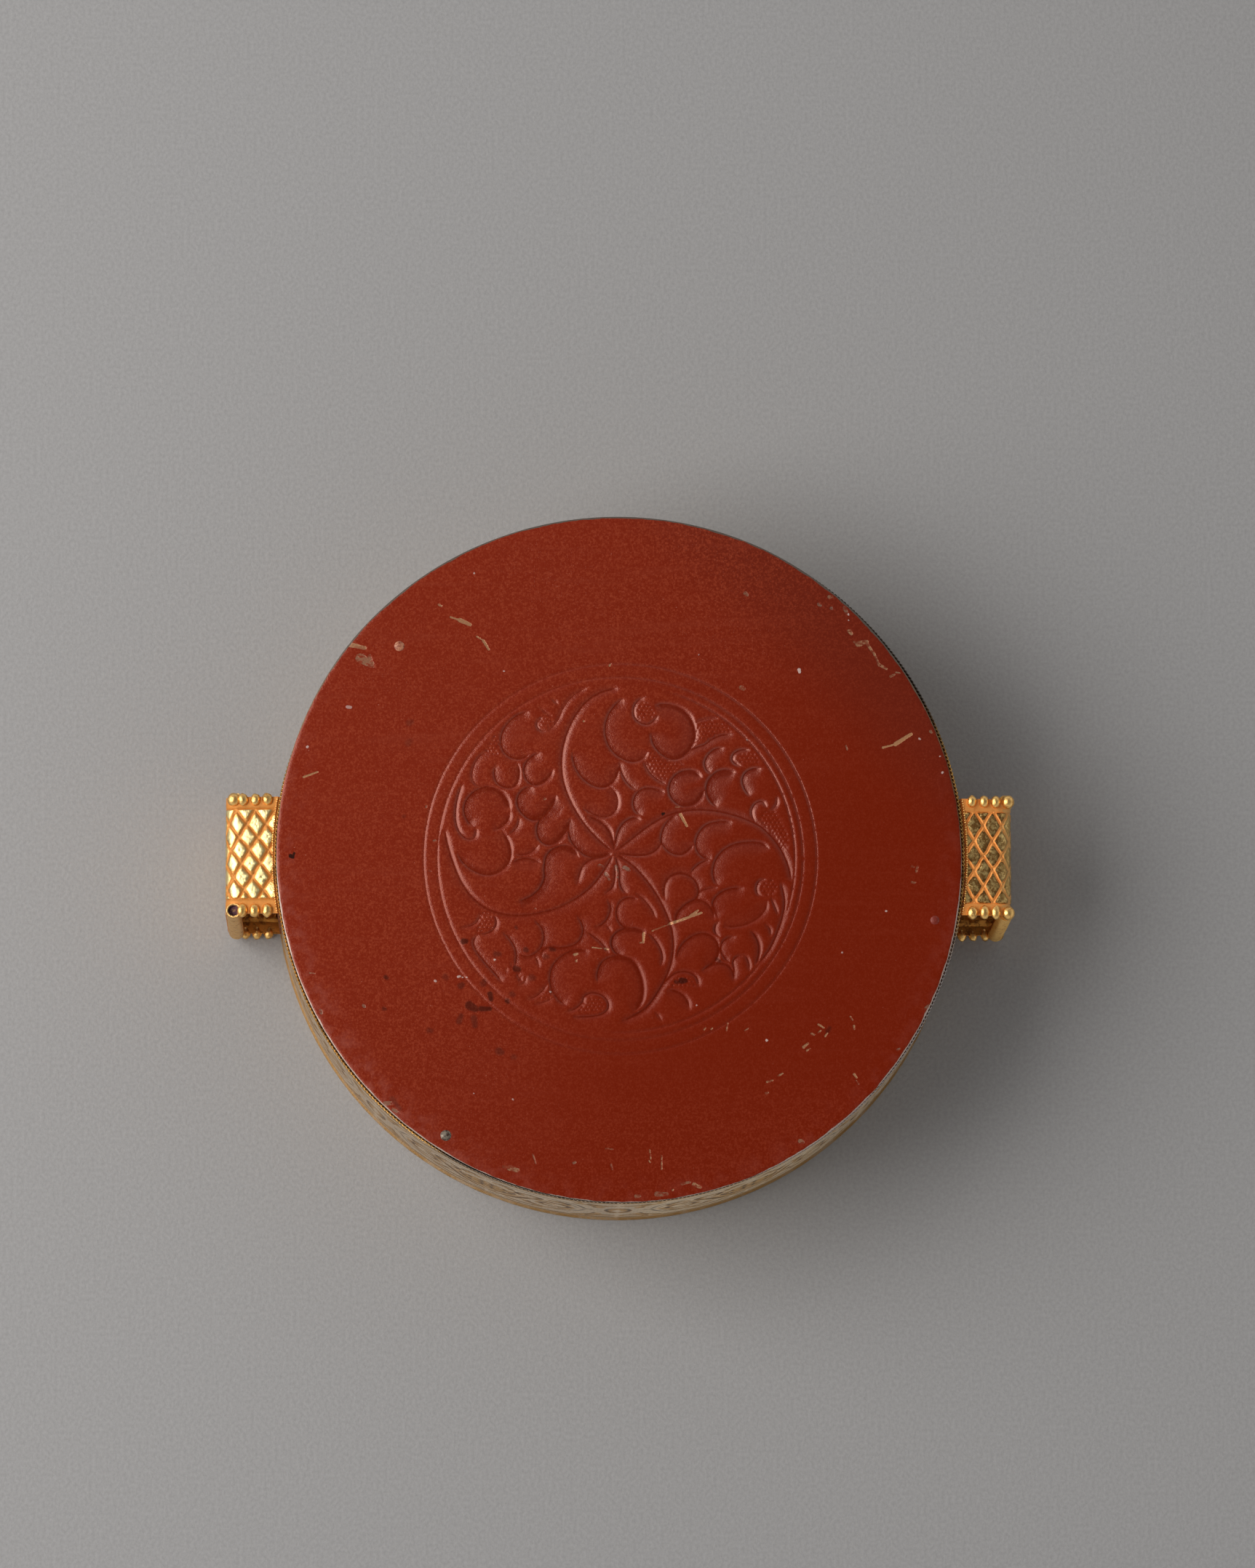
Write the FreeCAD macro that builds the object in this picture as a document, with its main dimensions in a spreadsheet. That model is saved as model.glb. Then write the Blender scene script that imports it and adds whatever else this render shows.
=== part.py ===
import FreeCAD, Part
import math
import os
import Sketcher

# A round amulet box of sheet metal, lying on its front with its red back up.
# Millimetres. +Z runs up through the back, X through the two strap loops,
# and the origin is on the floor under the middle of the box.

sizes = {
    # case: a round wall of sheet that stands on the border of the front plate
    "wall_radius": 60.2,
    "wall_sheet": 0.8,
    "box_depth": 34.5,          # floor to the back plate's flat face
    # front plate: a flat border with a field set back behind it
    "front_overhang": 0.3,      # how far the front's edge stands out past the wall
    "front_sheet": 0.8,
    "front_border": 5.0,
    "front_recess": 1.8,
    "front_petal_inner": 19.5,
    "front_petal_length": 11.5,
    "front_petal_bulge": 2.8,   # half the width of a petal
    "front_petal_relief": 0.9,
    "front_petal_count": 16,
    "front_bud_inset": 13.0,    # from the border's inner edge to the buds' middles
    "front_bud_radius": 5.2,
    "front_bud_relief": 1.0,
    "front_bud_count": 8,
    "front_scroll_bulge": 3.4,
    "front_scroll_width": 1.5,
    # beaded wires and lotus boss of the front
    "front_wire_radius": 0.65,
    "rim_wire_inset": 1.6,      # from the border's inner edge to the wire's middle
    "ring_wire_place": 17.2,
    "boss_radius": 15.0,
    "boss_sheet": 0.5,
    "boss_dome_radius": 5.0,
    "boss_dome_height": 1.3,
    "boss_petal_bulge": 2.0,
    "boss_petal_relief": 0.6,
    "boss_petal_count": 8,
    # back cover: plate, riveted flange, medallion in low relief
    "plate_inset": 0.4,         # plate's edge behind the wall's outer face
    "plate_sheet": 0.6,
    "cover_seat_gap": 0.05,     # plate above the wire that it rests on
    "edge_wire_radius": 0.35,
    "flange_clearance": 0.06,   # skirt inside the wall, per side
    "flange_sheet": 0.6,
    "skirt_depth": 10.0,
    "lip_width": 8.5,
    "medallion_radius": 34.5,
    "medallion_band": 2.5,
    "medallion_line_place": 31.2,
    "medallion_line": 0.6,
    "medallion_relief": 0.7,
    "arm_start": 4.5,
    "arm_reach": 30.0,
    "arm_width": 3.4,
    "arm_bulge": 7.2,
    "arm_count": 4,
    "lobe_start": 9.0,
    "lobe_reach": 24.0,
    "lobe_width": 2.8,
    "lobe_bulge": 3.2,
    "star_petal_length": 8.0,
    "star_petal_bulge": 1.3,
    "star_petal_count": 8,
    "rivet_radius": 0.6,
    "rivet_clearance": 0.02,
    "rivet_head_radius": 0.95,
    "rivet_head_height": 0.35,
    "rivet_wall_gap": 0.9,      # from the rivet's shank to the skirt, at least
    # strap loops: U-bent strips on curved bases, beaded along both open edges
    "loop_reach": 8.3,          # wall to the outer face of the band
    "loop_width": 21.6,
    "loop_rise": 0.9,           # floor to the loop's lower face
    "loop_top_inset": 1.0,      # loop's upper face below the back plate's flat face
    "loop_sheet": 0.7,
    "loop_bend": 2.2,
    "loop_base_sheet": 0.6,
    "bead_radius": 0.7,
    "bead_end_radius": 0.45,
    "bead_length": 1.9,
    "bead_pitch": 2.0,
    "bead_strip": 0.3,
    "bead_strip_width": 2.1,
    # one overrun serves all cuts
    "overrun": 2.0,
}

# Where the three rivets sit: degrees round the back, counted from +X towards +Y,
# and how far in from the outermost place that a rivet can take, as a share of the lip.
rivet_angles = [-122.0, -11.0, 136.0]
rivet_inset_shares = [0.0, 0.17, 0.44]

# Where the front's scrolls begin and end, as shares of the way from one bud to the next,
# and how far the medallion's lobes end behind their arms, in degrees
outer_scroll_shares = (0.18, 0.52)
inner_scroll_shares = (0.48, 0.82)
lobe_turn = 35.0

doc = FreeCAD.newDocument("round_amulet_box")
sheet = doc.addObject("Spreadsheet::Sheet", "sizes")
for row, (alias, number) in enumerate(sizes.items(), start=1):
    sheet.set(f"A{row}", alias)
    sheet.set(f"B{row}", str(number))
    sheet.setAlias(f"B{row}", alias)
doc.recompute()

# Sizes that several pieces share, as expressions over the sheet
wall_inner = "(sizes.wall_radius - sizes.wall_sheet)"
plate_under = "(sizes.box_depth - sizes.plate_sheet)"
wire_middle = f"({plate_under} - sizes.cover_seat_gap - sizes.edge_wire_radius)"
wall_top = f"({wire_middle} - sizes.edge_wire_radius)"
front_radius = "(sizes.wall_radius + sizes.front_overhang)"
border_inner = f"({front_radius} - sizes.front_border)"
plate_radius = "(sizes.wall_radius - sizes.plate_inset)"
skirt_radius = f"({wall_inner} - sizes.flange_clearance)"
base_radius = "(sizes.wall_radius + sizes.loop_base_sheet)"
band_face = "(sizes.wall_radius + sizes.loop_reach)"
bud_ring = f"({border_inner} - sizes.front_bud_inset)"
loop_top = "(sizes.box_depth - sizes.loop_top_inset)"
loop_depth = f"({loop_top} - sizes.loop_rise)"
loop_bore_bottom = "(sizes.loop_rise + sizes.loop_sheet)"
loop_bore_top = f"({loop_top} - sizes.loop_sheet)"
band_inner_face = f"({band_face} - sizes.loop_sheet)"

node_objects = []


def value(text):
    return float(sheet.evalExpression(text))


def name_node(item, label):
    item.Label = label
    node_objects.append(item)
    return item


def new_body(label):
    return name_node(doc.addObject("PartDesign::Body", label), label)


def new_sketch(body, name, role, offset="0"):
    sketch = body.newObject("Sketcher::SketchObject", name)
    plane = [part for part in body.Origin.OriginFeatures if part.Role == role][0]
    sketch.AttachmentSupport = [(plane, "")]
    sketch.MapMode = "FlatFace"
    sketch.setExpression("AttachmentOffset.Base.z", offset)
    return sketch


def tie(sketch, name, text, *constraint):
    number = sketch.addConstraint(Sketcher.Constraint(*constraint, value(text)))
    sketch.renameConstraint(number, name)
    sketch.setExpression(f"Constraints.{name}", text)


def place_point(sketch, name, curve, end, point):
    # hold one end of a curve at a point given as two expressions
    holds = (("x", point[0], "DistanceX", -2), ("y", point[1], "DistanceY", -1))
    for letter, text, kind, axis in holds:
        if text == "0":
            sketch.addConstraint(Sketcher.Constraint("PointOnObject", curve, end, axis))
        else:
            tie(sketch, f"{name}_{letter}", text, kind, -1, 1, curve, end)


def circle_sketch(body, name, radii, offset="0", centre=("0", "0")):
    sketch = new_sketch(body, name, "XY_Plane", offset)
    middle = FreeCAD.Vector(value(centre[0]), value(centre[1]))
    for index, radius in enumerate(radii):
        circle = sketch.addGeometry(Part.Circle(middle, FreeCAD.Vector(0, 0, 1), value(radius)))
        place_point(sketch, f"centre_{index}", circle, 3, centre)
        tie(sketch, f"radius_{index}", radius, "Radius", circle)
    return sketch


def outline_sketch(body, name, role, points, offset="0"):
    # a closed outline of straight lines; each point is two expressions
    sketch = new_sketch(body, name, role, offset)
    corners = [FreeCAD.Vector(value(x), value(y)) for x, y in points]
    count = len(corners)
    for index in range(count):
        sketch.addGeometry(Part.LineSegment(corners[index], corners[(index + 1) % count]))
    for index in range(count):
        sketch.addConstraint(Sketcher.Constraint("Coincident", index, 2, (index + 1) % count, 1))
    for index in range(count):
        place_point(sketch, f"corner_{index}", index, 1, points[index])
    return sketch


def leaf_sketch(body, name, start, end, bulges, offset="0"):
    # a pointed leaf between two arcs; each bulge is how far its arc stands left of the chord
    sketch = new_sketch(body, name, "XY_Plane", offset)
    first = FreeCAD.Vector(value(start[0]), value(start[1]))
    last = FreeCAD.Vector(value(end[0]), value(end[1]))
    chord = f"hypot({end[0]} - {start[0]}; {end[1]} - {start[1]})"
    left = FreeCAD.Vector(first.y - last.y, last.x - first.x).normalize()
    arcs = []
    for index, bulge in enumerate(bulges):
        middle = (first + last) / 2 + left * value(bulge)
        arc = sketch.addGeometry(Part.Arc(first, middle, last))
        # an arc can come out turned round, so its first point may lie at the leaf's end
        start_point = sketch.getPoint(arc, 1)
        turned = start_point.distanceToPoint(first) > start_point.distanceToPoint(last)
        near, far = (2, 1) if turned else (1, 2)
        size = f"abs({bulge})"
        tie(sketch, f"radius_{index}", f"(({chord})^2 / 4 + {size}^2) / (2 * {size})", "Radius", arc)
        arcs.append((arc, near, far))
    (upper, upper_near, upper_far), (lower, lower_near, lower_far) = arcs
    place_point(sketch, "start", upper, upper_near, start)
    place_point(sketch, "end", upper, upper_far, end)
    sketch.addConstraint(Sketcher.Constraint("Coincident", upper, upper_near, lower, lower_near))
    sketch.addConstraint(Sketcher.Constraint("Coincident", upper, upper_far, lower, lower_far))
    return sketch


def pad(body, name, sketch, length, down=False, side="One side"):
    feature = body.newObject("PartDesign::Pad", name)
    feature.Profile = sketch
    feature.setExpression("Length", length)
    feature.SideType = side
    feature.Reversed = down
    return feature


def pocket(body, name, sketch, length):
    # cuts to both sides of its sketch, so that no cut can miss
    feature = body.newObject("PartDesign::Pocket", name)
    feature.Profile = sketch
    feature.setExpression("Length", length)
    feature.SideType = "Symmetric"
    doc.recompute()
    if feature.Shape.Volume >= feature.BaseFeature.Shape.Volume:
        raise RuntimeError(f"{body.Label}: {name} cuts nothing")
    return feature


def polar(body, name, feature, count):
    pattern = body.newObject("PartDesign::PolarPattern", name)
    pattern.Originals = [feature]
    z_axis = [part for part in body.Origin.OriginFeatures if part.Role == "Z_Axis"][0]
    pattern.Axis = (z_axis, [""])
    pattern.setExpression("Occurrences", count)
    body.Tip = pattern
    return pattern


def fillet_along_y(body, name, feature, radius, place_x):
    # rounds the edges that run along Y at one place along X
    doc.recompute()
    names = []
    for index, edge in enumerate(feature.Shape.Edges, start=1):
        ends = [vertex.Point for vertex in edge.Vertexes]
        if all(same(point.x, place_x) for point in ends) and same(ends[0].z, ends[-1].z):
            names.append(f"Edge{index}")
    rounding = body.newObject("PartDesign::Fillet", name)
    rounding.Base = (feature, names)
    rounding.setExpression("Radius", radius)


def same(first, second):
    return math.isclose(first, second, rel_tol=1e-6)


def polar_point(radius, turn_share, count):
    # a point on a circle, a share of one repeat round from X, as two expressions
    turn = f"(360 deg * {turn_share} / {count})"
    return (f"{radius} * cos({turn})", f"{radius} * sin({turn})")


def build_side_wall():
    body = new_body("side_wall")
    rings = circle_sketch(body, "wall_rings", ["sizes.wall_radius", wall_inner], "sizes.front_sheet")
    pad(body, "wall_band", rings, f"{wall_top} - sizes.front_sheet")


def build_front_plate():
    body = new_body("front_plate")
    back = "sizes.front_sheet + sizes.front_recess"
    step = "sizes.front_recess / 2"
    shift = "sizes.front_sheet / 2"
    profile = outline_sketch(body, "front_profile", "XZ_Plane", [
        ("0", "sizes.front_recess"),
        (f"{border_inner} - {step}", "sizes.front_recess"),
        (border_inner, "0"),
        (front_radius, "0"),
        (front_radius, "sizes.front_sheet"),
        (f"{border_inner} + {shift}", "sizes.front_sheet"),
        (f"{border_inner} + {shift} - {step}", back),
        ("0", back),
    ])
    turned = body.newObject("PartDesign::Revolution", "front_sheet_formed")
    turned.Profile = profile
    turned.ReferenceAxis = (profile, ["V_Axis"])
    turned.Angle = 360

    # a ring of lotus petals round the boss
    petal_end = "sizes.front_petal_inner + sizes.front_petal_length"
    petal = leaf_sketch(body, "petal_outline", ("sizes.front_petal_inner", "0"), (petal_end, "0"),
                        ["sizes.front_petal_bulge", "-sizes.front_petal_bulge"], "sizes.front_recess")
    raised = pad(body, "petal", petal, "sizes.front_petal_relief", down=True)
    polar(body, "petal_ring", raised, "sizes.front_petal_count")

    # flower buds with a scroll from each to the next
    bud = circle_sketch(body, "bud_outline", ["sizes.front_bud_radius"], "sizes.front_recess",
                        (bud_ring, "0"))
    raised = pad(body, "bud", bud, "sizes.front_bud_relief", down=True)
    polar(body, "bud_ring", raised, "sizes.front_bud_count")
    wide = "sizes.front_scroll_bulge"
    narrow = f"({wide} - sizes.front_scroll_width)"
    for name, shares, sign in (("outer", outer_scroll_shares, "-"), ("inner", inner_scroll_shares, "")):
        begin, finish = [polar_point(bud_ring, share, "sizes.front_bud_count") for share in shares]
        scroll = leaf_sketch(body, f"{name}_scroll_outline", begin, finish,
                             [f"{sign}{wide}", f"{sign}{narrow}"], "sizes.front_recess")
        raised = pad(body, f"{name}_scroll", scroll, "sizes.front_bud_relief", down=True)
        polar(body, f"{name}_scroll_ring", raised, "sizes.front_bud_count")


def build_wire(label, radius, thickness, height):
    ring = name_node(doc.addObject("Part::Torus", label), label)
    ring.setExpression("Radius1", radius)
    ring.setExpression("Radius2", thickness)
    ring.setExpression("Placement.Base.z", height)


def lens_face(start_x, length, bulge, height):
    # a pointed petal lying along X
    start = FreeCAD.Vector(start_x, 0, height)
    end = FreeCAD.Vector(start_x + length, 0, height)
    middle = (start + end) / 2
    side = FreeCAD.Vector(0, bulge, 0)
    arcs = [Part.Arc(start, middle + side, end), Part.Arc(end, middle - side, start)]
    return Part.Face(Part.Wire([arc.toShape() for arc in arcs]))


def build_front_boss():
    top = value("sizes.front_recess")
    under = top - value("sizes.boss_sheet")
    radius = value("sizes.boss_radius")
    dome_radius = value("sizes.boss_dome_radius")
    dome_height = value("sizes.boss_dome_height")
    count = int(value("sizes.boss_petal_count"))

    # sheet with a domed middle, turned from one profile
    apex = FreeCAD.Vector(0, 0, top - dome_height)
    foot = FreeCAD.Vector(dome_radius, 0, under)
    drop = under - apex.z
    dome_curve = (dome_radius ** 2 + drop ** 2) / (2 * drop)
    half_turn = math.asin(dome_radius / dome_curve) / 2
    crown_sink = dome_curve * (1 - math.cos(half_turn))
    crown = FreeCAD.Vector(dome_curve * math.sin(half_turn), 0, apex.z + crown_sink)
    corners = [foot, FreeCAD.Vector(radius, 0, under), FreeCAD.Vector(radius, 0, top)]
    corners += [FreeCAD.Vector(0, 0, top), apex]
    edges = [Part.makeLine(first, second) for first, second in zip(corners, corners[1:])]
    edges.append(Part.Arc(apex, crown, foot).toShape())
    shape = Part.Face(Part.Wire(edges)).revolve(FreeCAD.Vector(), FreeCAD.Vector(0, 0, 1), 360)

    # eight petals round the dome
    length = radius - dome_radius
    petal = lens_face(dome_radius, length, value("sizes.boss_petal_bulge"), under)
    raised = petal.extrude(FreeCAD.Vector(0, 0, -value("sizes.boss_petal_relief")))
    petals = []
    for index in range(count):
        one = raised.copy()
        one.rotate(FreeCAD.Vector(), FreeCAD.Vector(0, 0, 1), 360 * index / count)
        petals.append(one)
    boss = name_node(doc.addObject("Part::Feature", "front_boss"), "front_boss")
    boss.Shape = shape.fuse(petals).removeSplitter()


def rivet_centres():
    # the rivets sit between the skirt and the lip's inner edge; each place is two expressions
    outermost = f"({skirt_radius} - sizes.flange_sheet - sizes.rivet_wall_gap - sizes.rivet_radius)"
    lip_room = "(sizes.lip_width - sizes.flange_sheet)"
    centres = []
    for angle, share in zip(rivet_angles, rivet_inset_shares):
        reach = f"({outermost} - {share} * {lip_room})"
        centres.append((f"{reach} * cos({angle} deg)", f"{reach} * sin({angle} deg)"))
    return centres


def cut_rivet_holes(body):
    sketch = new_sketch(body, "rivet_holes", "XY_Plane", plate_under)
    hole = "sizes.rivet_radius + sizes.rivet_clearance"
    for index, centre in enumerate(rivet_centres()):
        middle = FreeCAD.Vector(value(centre[0]), value(centre[1]))
        circle = sketch.addGeometry(Part.Circle(middle, FreeCAD.Vector(0, 0, 1), value(hole)))
        place_point(sketch, f"hole_{index}", circle, 3, centre)
        tie(sketch, f"hole_{index}_radius", hole, "Radius", circle)
    pocket(body, "rivet_holes_cut", sketch, "sizes.overrun")


def build_back_plate():
    body = new_body("back_plate")
    disc = circle_sketch(body, "plate_edge", [plate_radius], plate_under)
    pad(body, "plate_sheet", disc, "sizes.plate_sheet")
    cut_rivet_holes(body)

    # the medallion: a raised band, a line, and leaves round a star
    top = "sizes.box_depth"
    relief = "sizes.medallion_relief"
    band = circle_sketch(body, "band_rings", ["sizes.medallion_radius",
                                              "sizes.medallion_radius - sizes.medallion_band"], top)
    pad(body, "band", band, relief)
    line = circle_sketch(body, "line_rings", ["sizes.medallion_line_place",
                                              "sizes.medallion_line_place - sizes.medallion_line"], top)
    pad(body, "line", line, relief)
    arm_width = "sizes.arm_width / 2"
    arm = leaf_sketch(body, "arm_outline", ("sizes.arm_start", "sizes.arm_start"),
                      ("sizes.arm_reach", "0"),
                      [f"sizes.arm_bulge + {arm_width}", f"sizes.arm_bulge - {arm_width}"], top)
    raised = pad(body, "arm", arm, relief)
    polar(body, "arms", raised, "sizes.arm_count")
    lobe_width = "sizes.lobe_width / 2"
    lobe_end = (f"sizes.lobe_reach * cos({lobe_turn} deg)", f"-sizes.lobe_reach * sin({lobe_turn} deg)")
    lobe = leaf_sketch(body, "lobe_outline", ("sizes.lobe_start", "0"), lobe_end,
                       [f"sizes.lobe_bulge + {lobe_width}", f"sizes.lobe_bulge - {lobe_width}"], top)
    raised = pad(body, "lobe", lobe, relief)
    polar(body, "lobes", raised, "sizes.arm_count")
    petal = leaf_sketch(body, "star_petal_outline", ("0", "0"), ("sizes.star_petal_length", "0"),
                        ["sizes.star_petal_bulge", "-sizes.star_petal_bulge"], top)
    raised = pad(body, "star_petal", petal, relief)
    polar(body, "star", raised, "sizes.star_petal_count")


def build_back_flange():
    body = new_body("back_flange")
    skirt_inner = f"{skirt_radius} - sizes.flange_sheet"
    skirt = circle_sketch(body, "skirt_rings", [skirt_radius, skirt_inner], plate_under)
    pad(body, "skirt", skirt, "sizes.skirt_depth", down=True)
    lip = circle_sketch(body, "lip_rings", [skirt_radius, f"{skirt_radius} - sizes.lip_width"], plate_under)
    pad(body, "lip", lip, "sizes.flange_sheet", down=True)
    cut_rivet_holes(body)


def rivet_shape():
    # one rivet standing on its inner head, headed on both sides
    shank = value("sizes.rivet_radius")
    head = value("sizes.rivet_head_radius")
    rise = value("sizes.rivet_head_height")
    grip = value("sizes.plate_sheet + sizes.flange_sheet")
    cap_curve = (head ** 2 + rise ** 2) / (2 * rise)
    half_turn = math.asin(head / cap_curve) / 2
    cap_x = cap_curve * math.sin(half_turn)
    cap_z = rise - cap_curve * (1 - math.cos(half_turn))
    top_apex = FreeCAD.Vector(0, 0, grip + rise)
    bottom_apex = FreeCAD.Vector(0, 0, -rise)
    points = [FreeCAD.Vector(head, 0, 0), FreeCAD.Vector(shank, 0, 0),
              FreeCAD.Vector(shank, 0, grip), FreeCAD.Vector(head, 0, grip)]
    edges = [Part.Arc(bottom_apex, FreeCAD.Vector(cap_x, 0, -cap_z), points[0]).toShape()]
    edges += [Part.makeLine(first, second) for first, second in zip(points, points[1:])]
    edges.append(Part.Arc(points[-1], FreeCAD.Vector(cap_x, 0, grip + cap_z), top_apex).toShape())
    edges.append(Part.makeLine(top_apex, bottom_apex))
    return Part.Face(Part.Wire(edges)).revolve(FreeCAD.Vector(), FreeCAD.Vector(0, 0, 1), 360)


def build_back_rivets():
    rivet = rivet_shape()
    base_height = value(f"{plate_under} - sizes.flange_sheet")
    placed = []
    for x, y in rivet_centres():
        one = rivet.copy()
        one.translate(FreeCAD.Vector(value(x), value(y), base_height))
        placed.append(one)
    rivets = name_node(doc.addObject("Part::Feature", "back_rivets"), "back_rivets")
    rivets.Shape = Part.makeCompound(placed)


def build_loop_base(label, turn):
    outer = doc.addObject("Part::Cylinder", f"{label}_outer")
    inner = doc.addObject("Part::Cylinder", f"{label}_inner")
    for cylinder, radius in ((outer, base_radius), (inner, "sizes.wall_radius")):
        cylinder.setExpression("Radius", radius)
        cylinder.setExpression("Height", loop_depth)
        cylinder.setExpression("Placement.Base.z", "sizes.loop_rise")
    ring = doc.addObject("Part::Cut", f"{label}_ring")
    ring.Base = outer
    ring.Tool = inner
    window = doc.addObject("Part::Box", f"{label}_window")
    window.setExpression("Length", base_radius)
    window.setExpression("Width", "sizes.loop_width")
    window.setExpression("Height", loop_depth)
    window.setExpression("Placement.Base.y", "-sizes.loop_width / 2")
    window.setExpression("Placement.Base.z", "sizes.loop_rise")
    base = name_node(doc.addObject("Part::Common", label), label)
    base.Base = ring
    base.Tool = window
    base.Placement = turn


def build_loop_band(label, turn):
    body = new_body(label)
    inside = "sizes.wall_radius - sizes.loop_width / 2"
    block = outline_sketch(body, "block_outline", "XZ_Plane", [
        (inside, "sizes.loop_rise"), (band_face, "sizes.loop_rise"),
        (band_face, loop_top), (inside, loop_top)])
    solid = pad(body, "block", block, "sizes.loop_width", side="Symmetric")
    fillet_along_y(body, "outer_bends", solid, "sizes.loop_bend", value(band_face))
    deeper = f"{inside} - sizes.overrun"
    bore = outline_sketch(body, "bore_outline", "XZ_Plane", [
        (deeper, loop_bore_bottom), (band_inner_face, loop_bore_bottom),
        (band_inner_face, loop_bore_top), (deeper, loop_bore_top)])
    hollow = pocket(body, "bore", bore, "sizes.loop_width + sizes.overrun")
    fillet_along_y(body, "inner_bends", hollow, "sizes.loop_bend - sizes.loop_sheet", value(band_inner_face))
    trim = circle_sketch(body, "base_outline", [base_radius])
    pocket(body, "base_trim", trim, f"2 * ({loop_top} + sizes.overrun)")
    body.Placement = turn


def loop_block(grow, low_y, high_y):
    # the loop's filled outline, grown outwards, between two places along Y
    near = value("sizes.wall_radius - sizes.loop_width / 2")
    far = value(band_face) + grow
    bottom = value("sizes.loop_rise") - grow
    top = value(loop_top) + grow
    bend = value("sizes.loop_bend") + grow
    on_arc = bend * (1 - math.sqrt(0.5))
    corners = [(near, bottom), (far - bend, bottom), (far, bottom + bend),
               (far, top - bend), (far - bend, top), (near, top)]
    points = [FreeCAD.Vector(x, low_y, z) for x, z in corners]
    low_middle = FreeCAD.Vector(far - on_arc, low_y, bottom + on_arc)
    high_middle = FreeCAD.Vector(far - on_arc, low_y, top - on_arc)
    edges = [
        Part.makeLine(points[0], points[1]),
        Part.Arc(points[1], low_middle, points[2]).toShape(),
        Part.makeLine(points[2], points[3]),
        Part.Arc(points[3], high_middle, points[4]).toShape(),
        Part.makeLine(points[4], points[5]),
        Part.makeLine(points[5], points[0]),
    ]
    return Part.Face(Part.Wire(edges)).extrude(FreeCAD.Vector(0, high_y - low_y, 0))


def bead_places():
    # equal steps along the band's outer face: one leg, a bend, the web, a bend, the other leg
    bend = value("sizes.loop_bend")
    start = value(f"{base_radius} + sizes.bead_radius")
    corner_x = value(band_face) - bend
    bottom = value("sizes.loop_rise")
    top = value(loop_top)
    leg = corner_x - start
    arc = bend * math.pi / 2
    web = top - bottom - 2 * bend
    total = 2 * leg + 2 * arc + web
    steps = round(total / value("sizes.bead_pitch"))
    places = []
    for index in range(steps + 1):
        along = total * index / steps
        if along <= leg:
            places.append((start + along, bottom))
        elif along <= leg + arc:
            turn = (along - leg) / bend
            places.append((corner_x + bend * math.sin(turn), bottom + bend * (1 - math.cos(turn))))
        elif along <= leg + arc + web:
            places.append((corner_x + bend, bottom + bend + along - leg - arc))
        elif along <= leg + 2 * arc + web:
            turn = (along - leg - arc - web) / bend
            places.append((corner_x + bend * math.cos(turn), top - bend * (1 - math.sin(turn))))
        else:
            places.append((start + total - along, top))
    return places


def bead_shape():
    # one barrel-shaped bead along Y, round its own middle
    half = value("sizes.bead_length") / 2
    end_radius = value("sizes.bead_end_radius")
    low = FreeCAD.Vector(0, -half, 0)
    high = FreeCAD.Vector(0, half, 0)
    low_edge = FreeCAD.Vector(end_radius, -half, 0)
    high_edge = FreeCAD.Vector(end_radius, half, 0)
    belly = FreeCAD.Vector(value("sizes.bead_radius"), 0, 0)
    edges = [
        Part.makeLine(low, low_edge),
        Part.Arc(low_edge, belly, high_edge).toShape(),
        Part.makeLine(high_edge, high),
        Part.makeLine(high, low),
    ]
    return Part.Face(Part.Wire(edges)).revolve(FreeCAD.Vector(), FreeCAD.Vector(0, 1, 0), 360)


def beaded_edge_shape(side):
    # a strip on the band's outer face with half-sunk beads along it; side is +1 or -1 along Y
    half_width = value("sizes.loop_width") / 2
    strip_width = value("sizes.bead_strip_width")
    low_y, high_y = sorted((side * half_width, side * (half_width - strip_width)))
    bead = bead_shape()
    beads = []
    for x, z in bead_places():
        one = bead.copy()
        one.translate(FreeCAD.Vector(x, (low_y + high_y) / 2, z))
        beads.append(one)
    grown = value("sizes.bead_strip")
    overrun = value("sizes.overrun")
    core = loop_block(0, low_y - overrun, high_y + overrun)
    height = value(loop_top) + 2 * overrun
    wall = Part.makeCylinder(value(base_radius), height, FreeCAD.Vector(0, 0, -overrun))
    return loop_block(grown, low_y, high_y).fuse(beads).cut([core, wall])


def build_loops():
    edge_shapes = {1: beaded_edge_shape(1), -1: beaded_edge_shape(-1)}
    z_axis = FreeCAD.Vector(0, 0, 1)
    for name, angle, sign in (("right", 0, 1), ("left", 180, -1)):
        turn = FreeCAD.Placement(FreeCAD.Vector(), FreeCAD.Rotation(z_axis, angle))
        build_loop_base(f"{name}_loop_base", turn)
        build_loop_band(f"{name}_loop_band", turn)
        for place, side in (("top", sign), ("bottom", -sign)):
            label = f"{name}_loop_{place}_beads"
            edge = name_node(doc.addObject("Part::Feature", label), label)
            edge.Shape = edge_shapes[side]
            edge.Placement = turn


build_side_wall()
build_front_plate()
front_wire_height = "sizes.front_recess - sizes.front_wire_radius"
rim_wire_place = f"{border_inner} - sizes.rim_wire_inset"
edge_wire_place = "sizes.wall_radius - sizes.edge_wire_radius"
build_wire("front_rim_wire", rim_wire_place, "sizes.front_wire_radius", front_wire_height)
build_wire("front_ring_wire", "sizes.ring_wire_place", "sizes.front_wire_radius", front_wire_height)
build_front_boss()
build_wire("back_edge_wire", edge_wire_place, "sizes.edge_wire_radius", wire_middle)
build_loops()
build_back_plate()
build_back_flange()
build_back_rivets()

doc.recompute()
for item in doc.Objects:
    if "Invalid" in item.State or "Error" in item.State:
        raise RuntimeError(f"{item.Label} did not compute: {item.State}")
for item in node_objects:
    if item.Shape.isNull() or not item.Shape.isValid():
        raise RuntimeError(f"{item.Label} has no valid shape")

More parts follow.
